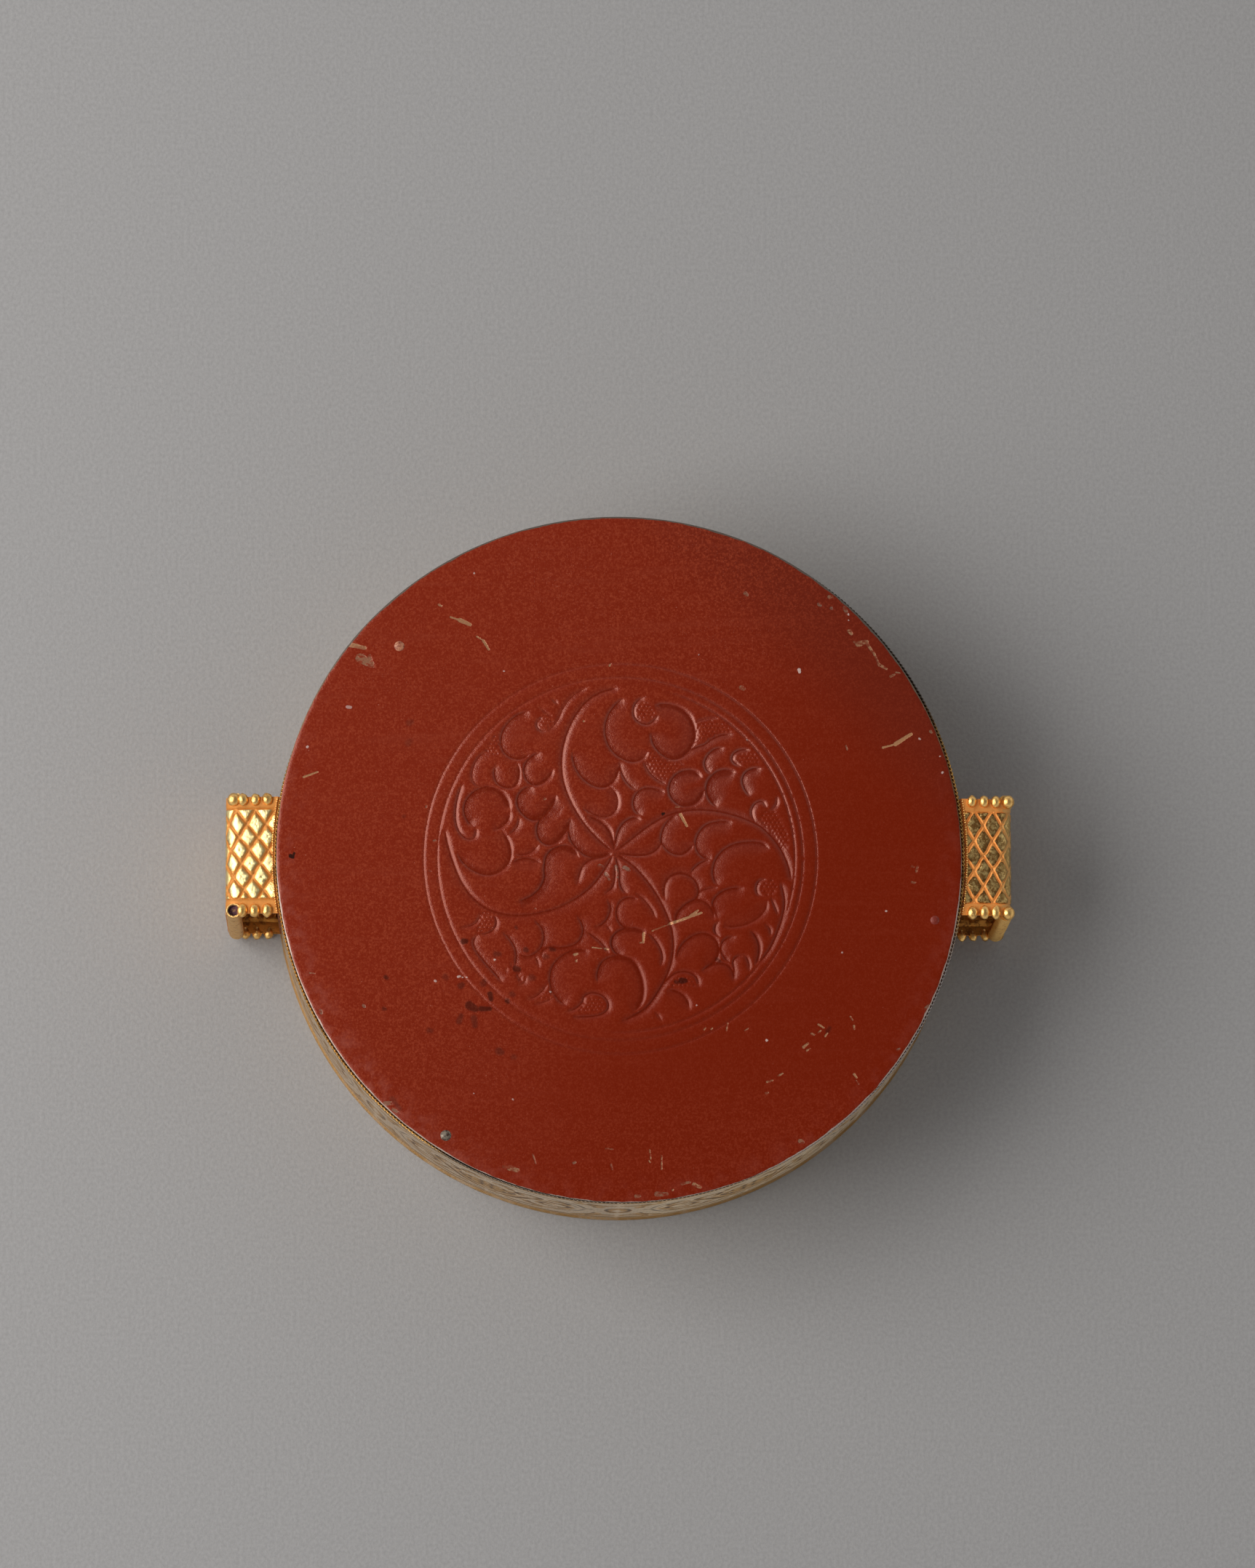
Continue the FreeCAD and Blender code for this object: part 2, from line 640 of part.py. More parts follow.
os.makedirs("parts", exist_ok=True)
for item in node_objects:
    item.Shape.exportStep(os.path.join("parts", f"{item.Label}.step"))
    box = item.Shape.BoundBox
    corners = (box.XMin, box.YMin, box.ZMin, box.XMax, box.YMax, box.ZMax)
    numbers = " ".join(f"{number:.2f}" for number in corners)
    print(f"{item.Label}: {len(item.Shape.Solids)} solids, {item.Shape.Volume:.1f} mm3, box {numbers}")
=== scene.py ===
import math
import random

import bmesh
import bpy
import numpy as np
from mathutils import Matrix, Vector, geometry, kdtree, noise


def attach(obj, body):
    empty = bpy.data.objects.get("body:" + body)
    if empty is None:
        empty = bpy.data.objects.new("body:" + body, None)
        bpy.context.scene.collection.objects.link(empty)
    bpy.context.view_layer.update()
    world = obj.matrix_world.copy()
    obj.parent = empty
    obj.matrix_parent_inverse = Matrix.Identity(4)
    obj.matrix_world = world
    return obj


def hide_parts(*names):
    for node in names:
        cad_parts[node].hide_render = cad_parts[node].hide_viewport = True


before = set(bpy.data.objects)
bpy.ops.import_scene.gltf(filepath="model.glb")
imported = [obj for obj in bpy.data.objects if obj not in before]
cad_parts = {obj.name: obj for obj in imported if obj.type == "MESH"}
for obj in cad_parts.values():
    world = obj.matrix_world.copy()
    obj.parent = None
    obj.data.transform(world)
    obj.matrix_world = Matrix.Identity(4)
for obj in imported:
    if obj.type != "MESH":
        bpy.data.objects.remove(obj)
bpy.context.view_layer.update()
mm = 0.001
print("frame loaded")


# Small helpers

def deselectAll():
    if bpy.context.object and bpy.context.object.mode != "OBJECT":
        bpy.ops.object.mode_set(mode="OBJECT")
    bpy.ops.object.select_all(action="DESELECT")


def selectOnly(piece):
    deselectAll()
    piece.select_set(True)
    bpy.context.view_layer.objects.active = piece


def meshPiece(name, points, faces, material, smoothAngle=None):
    # points in millimetres
    mesh = bpy.data.meshes.new(name)
    mesh.from_pydata([tuple(p) for p in np.asarray(points, float) * mm], [], [list(f) for f in faces])
    mesh.update()
    piece = bpy.data.objects.new(name, mesh)
    bpy.context.scene.collection.objects.link(piece)
    piece.data.materials.append(material)
    if smoothAngle:
        shadeSmooth(piece, smoothAngle)
    return piece


def shadeSmooth(piece, angle):
    selectOnly(piece)
    bpy.ops.object.shade_smooth_by_angle(angle=math.radians(angle))
    piece.select_set(False)


def outwardNormals(piece):
    work = bmesh.new()
    work.from_mesh(piece.data)
    bmesh.ops.remove_doubles(work, verts=work.verts, dist=1e-6)
    bmesh.ops.recalc_face_normals(work, faces=work.faces)
    work.to_mesh(piece.data)
    work.free()
    piece.data.update()


def addAttribute(piece, name, values):
    attribute = piece.data.attributes.new(name, "FLOAT", "POINT")
    attribute.data.foreach_set("value", np.asarray(values, np.float32))


def applyModifier(piece, kind, **settings):
    selectOnly(piece)
    modifier = piece.modifiers.new(kind.lower(), kind)
    for key, setting in settings.items():
        setattr(modifier, key, setting)
    bpy.ops.object.modifier_apply(modifier=modifier.name)
    piece.select_set(False)


def finishPiece(piece, body, slotName, *nodes):
    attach(piece, body)
    if nodes:
        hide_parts(*nodes)
    return piece


# Node helpers

def setInputs(tree, node, inputs):
    # links a socket, or sets a plain value
    for key, given in inputs.items():
        if isinstance(given, bpy.types.NodeSocket):
            tree.links.new(given, node.inputs[key])
        else:
            node.inputs[key].default_value = given


def addNode(tree, kind, inputs=None, **settings):
    node = tree.nodes.new("ShaderNode" + kind)
    for key, setting in settings.items():
        setattr(node, key, setting)
    setInputs(tree, node, inputs or {})
    return node


def rgb(red, green, blue):
    # a colour as it looks on screen, 0 to 255, in linear light
    def linear(share):
        share /= 255
        return share / 12.92 if share <= 0.04045 else ((share + 0.055) / 1.055) ** 2.4
    return (linear(red), linear(green), linear(blue), 1)


def mixColour(tree, share, first, second, blend="MIX"):
    node = addNode(tree, "Mix", {0: share, 6: first, 7: second}, data_type="RGBA", blend_type=blend)
    return node.outputs[2]


def mathNode(tree, operation, first, second=0.0, third=0.0, clamp=False):
    node = addNode(tree, "Math", {0: first, 1: second, 2: third}, operation=operation, use_clamp=clamp)
    return node.outputs[0]


def times(tree, first, second, clamp=False):
    return mathNode(tree, "MULTIPLY", first, second, clamp=clamp)


def plus(tree, first, second, clamp=False):
    return mathNode(tree, "ADD", first, second, clamp=clamp)


def minus(tree, first, second):
    return mathNode(tree, "SUBTRACT", first, second)


def larger(tree, first, second):
    return mathNode(tree, "MAXIMUM", first, second)


def ramp(tree, value, low, high, toLow=0.0, toHigh=1.0):
    node = addNode(tree, "MapRange",
                   {"Value": value, "From Min": low, "From Max": high, "To Min": toLow, "To Max": toHigh},
                   interpolation_type="SMOOTHSTEP")
    return node.outputs[0]


def objectPlace(tree, scale=(1, 1, 1)):
    place = addNode(tree, "TexCoord").outputs["Object"]
    return addNode(tree, "Mapping", {"Vector": place, "Scale": scale}).outputs[0]


def objectAxes(tree):
    # x, y and z of the place, in metres
    return addNode(tree, "SeparateXYZ", {"Vector": addNode(tree, "TexCoord").outputs["Object"]}).outputs


def newGroup(name, inputs, outputs):
    tree = bpy.data.node_groups.new(name, "ShaderNodeTree")
    for label, kind, start in inputs:
        socket = tree.interface.new_socket(label, in_out="INPUT", socket_type="NodeSocket" + kind)
        if start is not None:
            socket.default_value = start
    for label, kind in outputs:
        tree.interface.new_socket(label, in_out="OUTPUT", socket_type="NodeSocket" + kind)
    return tree, tree.nodes.new("NodeGroupInput").outputs, tree.nodes.new("NodeGroupOutput").inputs


def useGroup(tree, group, **inputs):
    node = tree.nodes.new("ShaderNodeGroup")
    node.node_tree = group
    setInputs(tree, node, inputs)
    return node.outputs


def newMaterial(name, **constants):
    material = bpy.data.materials.new(name)
    material.use_nodes = True
    tree = material.node_tree
    tree.nodes.clear()
    shader = addNode(tree, "BsdfPrincipled",
                     {key.replace("_", " "): value for key, value in constants.items()})
    tree.links.new(shader.outputs[0], addNode(tree, "OutputMaterial").inputs[0])
    return material, tree, shader.inputs


def feed(tree, socket, given):
    tree.links.new(given, socket)


def bump(tree, shader, height, distance, strength):
    made = addNode(tree, "Bump", {"Height": height, "Distance": distance, "Strength": strength})
    feed(tree, shader["Normal"], made.outputs[0])


# Shared effects

def makeSpeckle():
    # small dots scattered over a surface: a mask with its own dot size and density
    tree, given, made = newGroup("speckle",
                                 [("place", "Vector", None), ("size", "Float", 0.5), ("dot", "Float", 0.2),
                                  ("density", "Float", 0.5)], [("mask", "Float")])
    scale = mathNode(tree, "DIVIDE", 1 / mm, given["size"])
    cells = addNode(tree, "TexVoronoi", {"Vector": given["place"], "Scale": scale, "Randomness": 1.0})
    inside = mathNode(tree, "LESS_THAN", cells.outputs["Distance"], given["dot"])
    chosen = addNode(tree, "SeparateColor", {"Color": cells.outputs["Color"]}).outputs[0]
    tree.links.new(times(tree, inside, mathNode(tree, "LESS_THAN", chosen, given["density"])), made["mask"])
    return tree


def makeCloud():
    # soft patches at one size, with finer ones in them: a value round 0.5
    tree, given, made = newGroup("clouding",
                                 [("place", "Vector", None), ("size", "Float", 10.0),
                                  ("detail", "Float", 4.0), ("seed", "Float", 0.0)], [("value", "Float")])
    node = addNode(tree, "TexNoise",
                   {"Vector": given["place"], "W": given["seed"],
                    "Scale": mathNode(tree, "DIVIDE", 1 / mm, given["size"]), "Detail": given["detail"],
                    "Roughness": 0.6}, noise_dimensions="4D")
    tree.links.new(node.outputs[0], made["value"])
    return tree


def patches(tree, place, size, detail=4.0, seed=0.0):
    return useGroup(tree, cloudGroup, place=place, size=size, detail=detail, seed=seed)["value"]


def makeMetalWear():
    # colour of worn plating: base metal, tarnish in patches and dirt in the hollows
    tree, given, made = newGroup("metalWear",
                                 [("place", "Vector", None), ("metal", "Color", (0.8, 0.8, 0.8, 1)),
                                  ("tarnish", "Color", (0.3, 0.2, 0.1, 1)),
                                  ("dirt", "Color", (0.05, 0.03, 0.02, 1)), ("hollow", "Float", 0.0),
                                  ("amount", "Float", 0.5), ("size", "Float", 4.0)],
                                 [("colour", "Color"), ("mask", "Float")])
    large = patches(tree, given["place"], given["size"], 5.0)
    fine = patches(tree, given["place"], 0.35, 3.0, 3.0)
    mixed = plus(tree, times(tree, large, 0.65), times(tree, fine, 0.35))
    low = minus(tree, 0.72, times(tree, given["amount"], 0.4))
    mask = ramp(tree, mixed, low, plus(tree, low, 0.16))
    worn = mixColour(tree, mask, given["metal"], given["tarnish"])
    tree.links.new(mixColour(tree, given["hollow"], worn, given["dirt"]), made["colour"])
    tree.links.new(mask, made["mask"])
    return tree


speckleGroup = makeSpeckle()
cloudGroup = makeCloud()
metalWearGroup = makeMetalWear()


def wornMetal(tree, place, **looks):
    return useGroup(tree, metalWearGroup, place=place, **looks)


# Relief sheets: points along every line of the ornament, joined into one skin

def smoothPath(points, step):
    # a curve through the points, cut into even steps
    given = np.array(points, float)
    ends = np.vstack([2 * given[0] - given[1], given, 2 * given[-1] - given[-2]])
    turns = np.linspace(0, 1, 12, endpoint=False)[:, None]
    parts = []
    for a, b, c, d in zip(ends[:-3], ends[1:-2], ends[2:-1], ends[3:]):
        parts.append(0.5 * (2 * b + (c - a) * turns + (2 * a - 5 * b + 4 * c - d) * turns ** 2
                            + (3 * b - a - 3 * c + d) * turns ** 3))
    dense = np.vstack(parts + [given[-1:]])
    return evenSteps(dense, step)


def evenSteps(path, step):
    along = np.r_[0, np.cumsum(np.linalg.norm(np.diff(path, axis=0), axis=1))]
    count = max(3, int(round(along[-1] / step)) + 1)
    even = np.linspace(0, along[-1], count)
    return np.column_stack([np.interp(even, along, path[:, k]) for k in range(2)])


def besideLine(path, offsets):
    # rows of points along a line at these distances from it, left of its travel positive
    travel = np.gradient(path, axis=0)
    travel /= np.linalg.norm(travel, axis=1)[:, None] + 1e-9
    left = np.column_stack([-travel[:, 1], travel[:, 0]])
    return np.vstack([path + left * offset for offset in offsets])


def linePull(points, path, inner, outer, depth=1.0, taper=1.5, chatter=0.0, seed=0.0):
    # how strongly one chased line pulls each point down: which points, and by what share
    reach = 3.2 * max(inner, outer)
    low, high = path.min(0) - reach, path.max(0) + reach
    near = np.where(((points > low) & (points < high)).all(1))[0]
    if not len(near):
        return near, np.zeros(0)
    starts, runs = path[:-1], np.diff(path, axis=0)
    lengths = (runs ** 2).sum(1) + 1e-12
    share = np.zeros(len(near))
    distance = np.zeros(len(near))
    side = np.zeros(len(near))
    for first in range(0, len(near), 4000):
        part = slice(first, first + 4000)
        some = points[near[part]]
        toPoint = some[:, None] - starts[None]
        t = np.clip((toPoint * runs).sum(2) / lengths, 0, 1)
        away = toPoint - t[..., None] * runs
        square = (away ** 2).sum(2)
        best = square.argmin(1)
        rows = np.arange(len(some))
        distance[part] = np.sqrt(square[rows, best])
        off = away[rows, best]
        run = runs[best]
        side[part] = run[:, 0] * off[:, 1] - run[:, 1] * off[:, 0]
        share[part] = (best + t[rows, best]) / len(runs)
    total = np.linalg.norm(runs, axis=1).sum()
    along = share * total
    width = np.where(side > 0, inner, outer)
    soft = np.sqrt(distance ** 2 + 0.07 ** 2) - 0.07
    ends = np.clip(np.minimum(along, total - along) / taper, 0, 1)
    strength = depth * (0.25 + 0.75 * ends * (2 - ends))
    if chatter:
        strength = strength * (1 + chatter * np.sin(along * 7.3 + seed) * np.sin(along * 2.9 + 2 * seed))
    swell = np.where(side > 0, .42, 0)  # inside a lobe the slope runs on, wide and shallow
    return near, strength * ((1 - swell) * np.exp(-soft / (width * .86))
                             + swell * np.exp(-soft / (width * 2.1)))


def toNearest(places, dots):
    # how far every place is from the dot nearest to it
    tree = kdtree.KDTree(len(dots))
    for index, (x, y) in enumerate(dots):
        tree.insert((x, y, 0), index)
    tree.balance()
    return np.array([tree.find((x, y, 0))[2] for x, y in places])


def onCircle(angles):
    return np.column_stack([np.cos(angles), np.sin(angles)])


def ringsRound(dots, radii, count):
    # rings of points round every dot
    circle = onCircle(np.linspace(0, 2 * math.pi, count + 1)[:-1])
    return np.vstack([(dots[:, None] + radius * circle[None]).reshape(-1, 2) for radius in radii])


def noiseAt(places, scale, seed):
    return np.array([noise.noise(Vector((x * scale, y * scale, seed))) for x, y in places])


def placeFinder(places):
    # gives the number of the place that lies at x, y
    known = {(round(x, 4), round(y, 4)): index for index, (x, y) in enumerate(places)}
    return lambda x, y: known[(round(float(np.float32(x)), 4), round(float(np.float32(y)), 4))]


def thinOut(layers):
    # each layer is (points, spacing); earlier layers keep their points
    kept = np.zeros((0, 2))
    for points, spacing in layers:
        if not len(points):
            continue
        cells = np.floor(points / (spacing * 0.72)).astype(np.int64)
        points = points[np.sort(np.unique(cells, axis=0, return_index=True)[1])]
        if len(kept):
            points = points[toNearest(points, kept) > spacing * 0.62]
        kept = np.vstack([kept, points])
    return kept


def hexGrid(low, high, step):
    rows = np.arange(low[1], high[1], step * 0.866)
    columns = np.arange(low[0], high[0], step)
    return np.array([(x + (index % 2) * step / 2, y) for index, y in enumerate(rows) for x in columns])


def joinPoints(outline, points):
    # triangles over the points, inside the outline
    count = len(outline)
    every = [Vector(p) for p in np.vstack([outline, points])]
    edges = [(i, (i + 1) % count) for i in range(count)]
    made = geometry.delaunay_2d_cdt(every, edges, [], 1, 1e-6)
    return np.array([tuple(v) for v in made[0]]), [tuple(f) for f in made[2]]


def insidePolygon(points, polygon):
    inside = np.zeros(len(points), bool)
    corners = np.array(polygon, float)
    for (x1, y1), (x2, y2) in zip(corners, np.roll(corners, -1, axis=0)):
        crosses = (y1 > points[:, 1]) != (y2 > points[:, 1])
        with np.errstate(divide="ignore", invalid="ignore"):
            at = (x2 - x1) * (points[:, 1] - y1) / (y2 - y1) + x1
        inside ^= crosses & (points[:, 0] < at)
    return inside


# Red back plate with its chased medallion

plate = {
    "middleX": -0.3,          # the plate sits a little to the left on its wire
    "radius": 60.11,
    "shift": (0.12, 0.3),     # the sheet was cut by hand: its outline is off centre
    "oval": (-0.29, -0.27),   # and a little longer towards the upper left
    "rimMost": 60.42,
    "rimPoints": 1100,
    "top": 34.5,
    "under": 33.9,
    "ringMiddle": (0.3, 0.1),
    "rings": (34.35, 31.95, 30.55),
    "ringSpans": ((0, 360), (0, 360), (-95, 75)),
    "raise": 0.19,            # medallion above the flat of the plate
    "cut": 0.155,             # depth of its lines under that flat
    "lineStep": 0.27,
    "flatStep": 1.3,
    "fieldStep": 0.52,
    "waviness": 0.05,
    "sunk": 0.06,             # depth of the matted ground
    "punchPitch": 0.72,
    "punch": 0.09,            # depth of a punched dot
    "punchReach": 0.17,
    "chip": 0.035,            # depth of the missing paint
    "fleck": 0.04,
    "edgeRound": 0.16,
    "rivetBumps": ((54.9, -10.6, .2), (-38.4, 37, .04), (-30.5, -48.7, -.03)),
}

# The medallion's lines, in millimetres from the middle of the plate. The raised lobe lies
# left of the way a line runs. Each starts with its width on the lobe's side, width outside, depth.
chasedLines = [
    # upper left
    (1.3, .4, 1, (-15.5, 25.9), (-17.5, 25.3), (-19.3, 23.8), (-20.4, 21.8), (-20.4, 19.6), (-19.2, 18),
     (-17.2, 17.5), (-15.2, 18.4)),
    (.5, .7, .8, (-5.5, 30.2), (-8, 28.6), (-9.6, 26.6), (-10.6, 24.4), (-12, 22.7), (-12.8, 22.4)),
    (.35, .35, .9, (-13.4, 25), (-14.2, 24), (-14.1, 23), (-13.2, 22.4), (-12.2, 22.6)),
    (.3, .3, .5, (-14, 27), (-12.6, 25.6), (-11, 24.6)),
    (.25, .25, .9, (-11.6, 28.2), (-10.5, 27)),
    (.9, .35, .8, (-22.5, 19.1), (-24.2, 18), (-25.3, 16.2), (-25.6, 14.3), (-24.9, 13), (-23.2, 12.5),
     (-22, 13)),
    (1.1, .4, 1, (-21.3, 16.6), (-21.7, 15.2), (-21.4, 13.7), (-20.6, 12.8), (-19.2, 12.4), (-18, 12.8),
     (-17.4, 14), (-17.3, 15.5), (-17.8, 17)),
    (1.1, .4, 1.1, (-13.6, 18.7), (-15, 18), (-16.1, 16.9), (-16.5, 15.4), (-16, 13.9), (-14.9, 13),
     (-13.4, 13.2), (-12.1, 14.3), (-11.3, 15.8)),
    (1.6, .4, 1.2, (-14.8, 12.8), (-16.6, 12.1), (-17.6, 10.6), (-17.4, 8.9), (-16.3, 7.5), (-14.8, 6.8),
     (-13.2, 7.3), (-12, 8.6), (-11.2, 10), (-10.9, 11.2)),
    (1.6, .4, 1.2, (-11, 10.9), (-11.4, 9.5), (-12.6, 7.9), (-13.8, 6.6), (-14.2, 4.9), (-13.7, 3.3),
     (-12.5, 2.5), (-11, 2.7), (-9.7, 3.9), (-8.8, 5.4), (-8.5, 7)),
    (1.2, .4, 1.2, (-8.3, 7.3), (-8.7, 5.3), (-8.3, 3.3), (-7.2, 1.8), (-5.6, .6), (-3.5, .2), (-1, .9)),
    (.5, .8, 1, (0, 30.1), (-3, 29.3), (-5.6, 27.6), (-7.6, 25), (-9, 22), (-9.8, 18.8), (-9.9, 15.5),
     (-9.3, 12.5), (-8, 9.4), (-6, 6.2), (-3.4, 3.3), (-.8, 1.1)),
    (1.4, .4, 1, (-8.1, 18.9), (-7.6, 16.4), (-6.3, 14.3), (-4.4, 12.9), (-2.4, 12.6), (-.9, 13.5),
     (0, 15.3), (.3, 17)),
    (1.2, .4, .9, (-6.4, 9.1), (-4.4, 7.8), (-2.4, 7.3), (-.8, 8), (-.1, 9.6), (-.4, 11.4), (-1.7, 12.8)),
    (.9, .4, 1.1, (-.8, 1.1), (-.9, 3), (-1.6, 5), (-3.2, 6.6), (-5.6, 7.6)),
    (.9, .4, 1.1, (4, 6.8), (2.6, 7.2), (1, 6.3), (0, 4.8), (-.5, 3), (-.8, 1.2)),
    # right arm and the lobes above and below it
    (.5, .8, 1, (30.1, -4), (29.8, -1.8), (28.8, .9), (27.2, 3.4), (25, 5.6), (22.5, 6.9), (19.9, 7.8),
     (16.5, 8.5), (13, 8.6), (9.8, 8), (7, 6.8), (4.3, 5), (1.8, 3), (-.8, 1.1)),
    (.8, .4, 1, (-.6, 1), (2.5, .6), (5, .7), (6.6, 1.5), (7.5, 2.8), (7.4, 4.2)),
    (1.2, .4, 1, (10.5, 8), (8.9, 6.9), (7.8, 5.2), (7.5, 3.3), (8.2, 1.9), (9.6, .9), (11.2, .8),
     (12.6, 1.8), (13.3, 3)),
    (1.3, .4, 1, (20, 6.5), (17.8, 6.6), (15.6, 6.1), (14.2, 4.8), (13.5, 3), (13.8, 1.4), (15, .2),
     (16.5, 0)),
    (1.3, .4, 1, (26.4, 1.7), (25, 2.8), (22.8, 3), (20.3, 2.6), (18.3, 1.5), (17, -.2), (16.5, -2.1),
     (16.8, -3.8), (17.6, -4.8)),
    (1.5, .4, 1, (.9, 28.3), (-.5, 27.1), (-1.7, 25.4), (-2.3, 23.3), (-2.1, 21.1), (-1.2, 19.2),
     (.4, 17.8), (2.4, 17.1), (4.2, 17.6), (5.2, 18.9)),
    (1.6, .4, 1.1, (5.7, 22.3), (6.1, 20.3), (7.4, 18.6), (9.2, 17.6), (11, 17.9), (12.6, 19.4),
     (13.4, 21.6), (13.1, 23.8), (12, 25.6), (10.2, 26.8), (8.2, 27.2), (6.2, 27)),
    (.35, .4, 1, (4.6, 28.5), (3.4, 27.8), (2.7, 26.5), (2.8, 25), (3.8, 24), (5.2, 23.7), (6.3, 24.4),
     (7, 25.4)),
    (.35, .35, .7, (13, 23.7), (14.5, 24.4), (16.5, 24.8), (17.6, 24.6)),
    (.6, .35, 1, (20, 22), (18, 21.8), (16.4, 21.1), (15, 20.1), (13.3, 19.5), (11.8, 18.5), (10.6, 17.6)),
    (.3, .3, .6, (10.2, 17.2), (11.6, 16.3)),
    (.9, .35, 1.1, (18.5, 19.6), (16.9, 19.3), (15.7, 18.3), (15.1, 16.9), (15.5, 15.6), (16.6, 14.9)),
    (.35, .35, 1.1, (23, 19.2), (21.4, 19.2), (20.2, 18.5), (19.9, 17.5), (20.5, 16.8), (21.5, 16.3)),
    (1.3, .4, 1.2, (14.6, 14.2), (13.2, 15.4), (11.4, 15.4), (9.9, 14.6), (9, 13.1), (9, 11.4), (10, 10),
     (11.5, 9.3), (13.3, 9.7), (14.6, 11), (15.1, 12.7)),
    (1.5, .4, 1.4, (20.5, 15.2), (18.7, 15.6), (17, 15.1), (15.8, 13.8), (15.4, 12.3), (15.9, 10.6),
     (17.2, 9)),
    (.9, .35, 1.2, (25, 16), (23.3, 15.8), (22.1, 15), (21.7, 13.8), (22.1, 12.4), (23, 11)),
    (.35, .35, .8, (26.2, 8.6), (27, 8.8), (27.7, 9.8), (27.7, 11.2)),
    (.35, .35, 1, (25.9, 9), (25.2, 10.1), (24, 9.8), (23.3, 8.6), (23.4, 7.4), (24.2, 6.1)),
    (1.2, .4, 1, (8.3, 11.6), (6.5, 12.3), (4.6, 12.4), (3.2, 11.5), (2.6, 9.9), (3, 8.4), (4.2, 7.5)),
    (.8, .35, 1, (.2, 17.4), (.4, 15.6), (1.1, 14), (2.2, 12.7), (3.6, 11.9)),
    (.35, .8, .9, (8.6, 12.9), (7, 13.8), (5.7, 14.9), (4.9, 16.1), (4.4, 17.5)),
    # lower arm
    (.5, .8, 1, (.5, -28.6), (3, -27.4), (5.2, -25.8), (6.8, -23.6), (8.2, -21), (9.2, -18.3), (9.6, -15.2),
     (9.2, -12), (8.1, -9), (6.5, -6), (4.6, -3.4), (2.3, -1), (-.8, 1)),
    (.35, .5, 1, (7.4, -19), (7.7, -17.2), (7.2, -15.5), (6.2, -14), (5, -12.9)),
    (1.7, .4, 1.1, (2.6, -27), (4, -25.2), (4.4, -22.8), (3.9, -20.3), (2.8, -18.2), (1.2, -17.3),
     (-1, -17.2), (-2.8, -18.2), (-3.6, -20), (-3.6, -21.8)),
    (1.7, .4, 1, (-5, -16.3), (-7.3, -16), (-9.5, -16.9), (-11.2, -18.5), (-11.9, -20.6), (-11.7, -22.7),
     (-10.6, -24.6), (-9, -25.9)),
    (.35, .35, 1, (-9, -27), (-7.4, -26.3), (-6.3, -25.3), (-5.9, -24.2), (-4.6, -23.6), (-3, -23.9),
     (-1.9, -25), (-1.8, -26.3), (-2.9, -27.3), (-5, -27.7), (-8, -27.8)),
    (1.0, .4, 1, (3.7, -7.2), (1.9, -6.8), (.4, -7.5), (-.3, -9), (-.1, -10.7), (1, -12), (2.8, -12.4)),
    (.6, .4, .9, (6.6, -10.6), (5.9, -9), (4.6, -7.3), (3, -5.9)),
    (.8, .35, 1.1, (-.7, .9), (-.2, -.8), (.2, -2.4), (.2, -4), (.7, -5.4), (1.6, -6.2)),
    (.4, .8, 1, (-1, .8), (-3, .3), (-4.9, -.3), (-6.2, -1.4), (-6.8, -3), (-7.2, -4.7)),
    (.5, .5, 1, (-2.5, -6.3), (-1, -5), (-.6, -3), (-.7, -.5)),
    (1.0, .4, 1, (-1.9, -7), (-1.4, -8.6), (-1.8, -10.3), (-2.9, -11.6), (-4.5, -12)),
    (1.2, .4, 1, (-7.2, -10), (-6.3, -11.6), (-6.2, -13.3), (-7.2, -14.8), (-8.9, -15.5), (-10.8, -15.6),
     (-12.3, -15)),
    (1.2, .4, 1, (-14.8, -10.5), (-13.3, -12.3), (-13, -14), (-13.5, -15.7), (-14.8, -16.9), (-16.2, -17.2),
     (-17.6, -16.6)),
    (.9, .35, 1, (-24.4, -13.2), (-25.3, -14.6), (-24.8, -16.2), (-23.3, -18.2), (-21.6, -20.1),
     (-20.2, -21.8)),
    (.9, .35, 1, (-20.2, -12.8), (-18.9, -14.2), (-18, -15.8), (-17.8, -17.5), (-18.2, -19.5)),
    (.3, .35, .9, (-24, -9.2), (-24.3, -10.5), (-25, -11.5), (-26.2, -12), (-27.6, -12.3)),
    (.35, .35, 1, (-21.9, -9.6), (-21.3, -11), (-21.7, -12.4), (-22.9, -13.2), (-24.3, -13.4)),
    (.3, .3, .8, (-19.5, -19), (-19.6, -20.3)),
    (.3, .3, .8, (-18.6, -18), (-18.6, -19.3)),
    (.3, .3, .9, (-17.7, -20), (-17.2, -21), (-16.6, -21.9)),
    (.5, .4, .9, (-16, -20.5), (-16.5, -21.8), (-17.5, -22.4)),
    (.4, .4, 1, (-13.8, -19.3), (-14.1, -18), (-14.9, -16.9)),
    (.4, .4, 1, (-10.5, -15.8), (-12, -15.6), (-13.2, -16.3), (-13.5, -17.6)),
    (.5, .35, .9, (-16, -24.8), (-14.3, -24.2), (-13, -23), (-12.1, -21.6)),
    (.3, .3, .8, (-14.7, -25.6), (-12.8, -25.2), (-11, -24.3)),
    # left arm
    (.8, .5, 1, (-.8, .9), (-2.6, -2.2), (-4.6, -4.8), (-7.2, -6.9), (-10.4, -8.6), (-13.8, -9.6),
     (-17.2, -10), (-20.4, -9.7), (-23.4, -8.5), (-25.8, -6.4), (-27.6, -3.7), (-28.9, -.5), (-29.8, 2.5),
     (-30.3, 5)),
    (1.5, .4, 1.3, (-7, .2), (-7.8, 1.7), (-9.5, 2.2), (-11.3, 1.7), (-12.5, .4), (-12.9, -1.6),
     (-12.9, -3.6), (-13.8, -5.4), (-15.4, -6.8), (-17.4, -7.6)),
    (1.2, .4, 1, (-13.3, -.9), (-14.8, -.2), (-16.7, 0), (-18.9, -.9)),
    (1.7, .4, 1, (-28.2, 1), (-27, -.8), (-25.2, -2.2), (-23, -2.9), (-21, -2.5), (-19.5, -1.3),
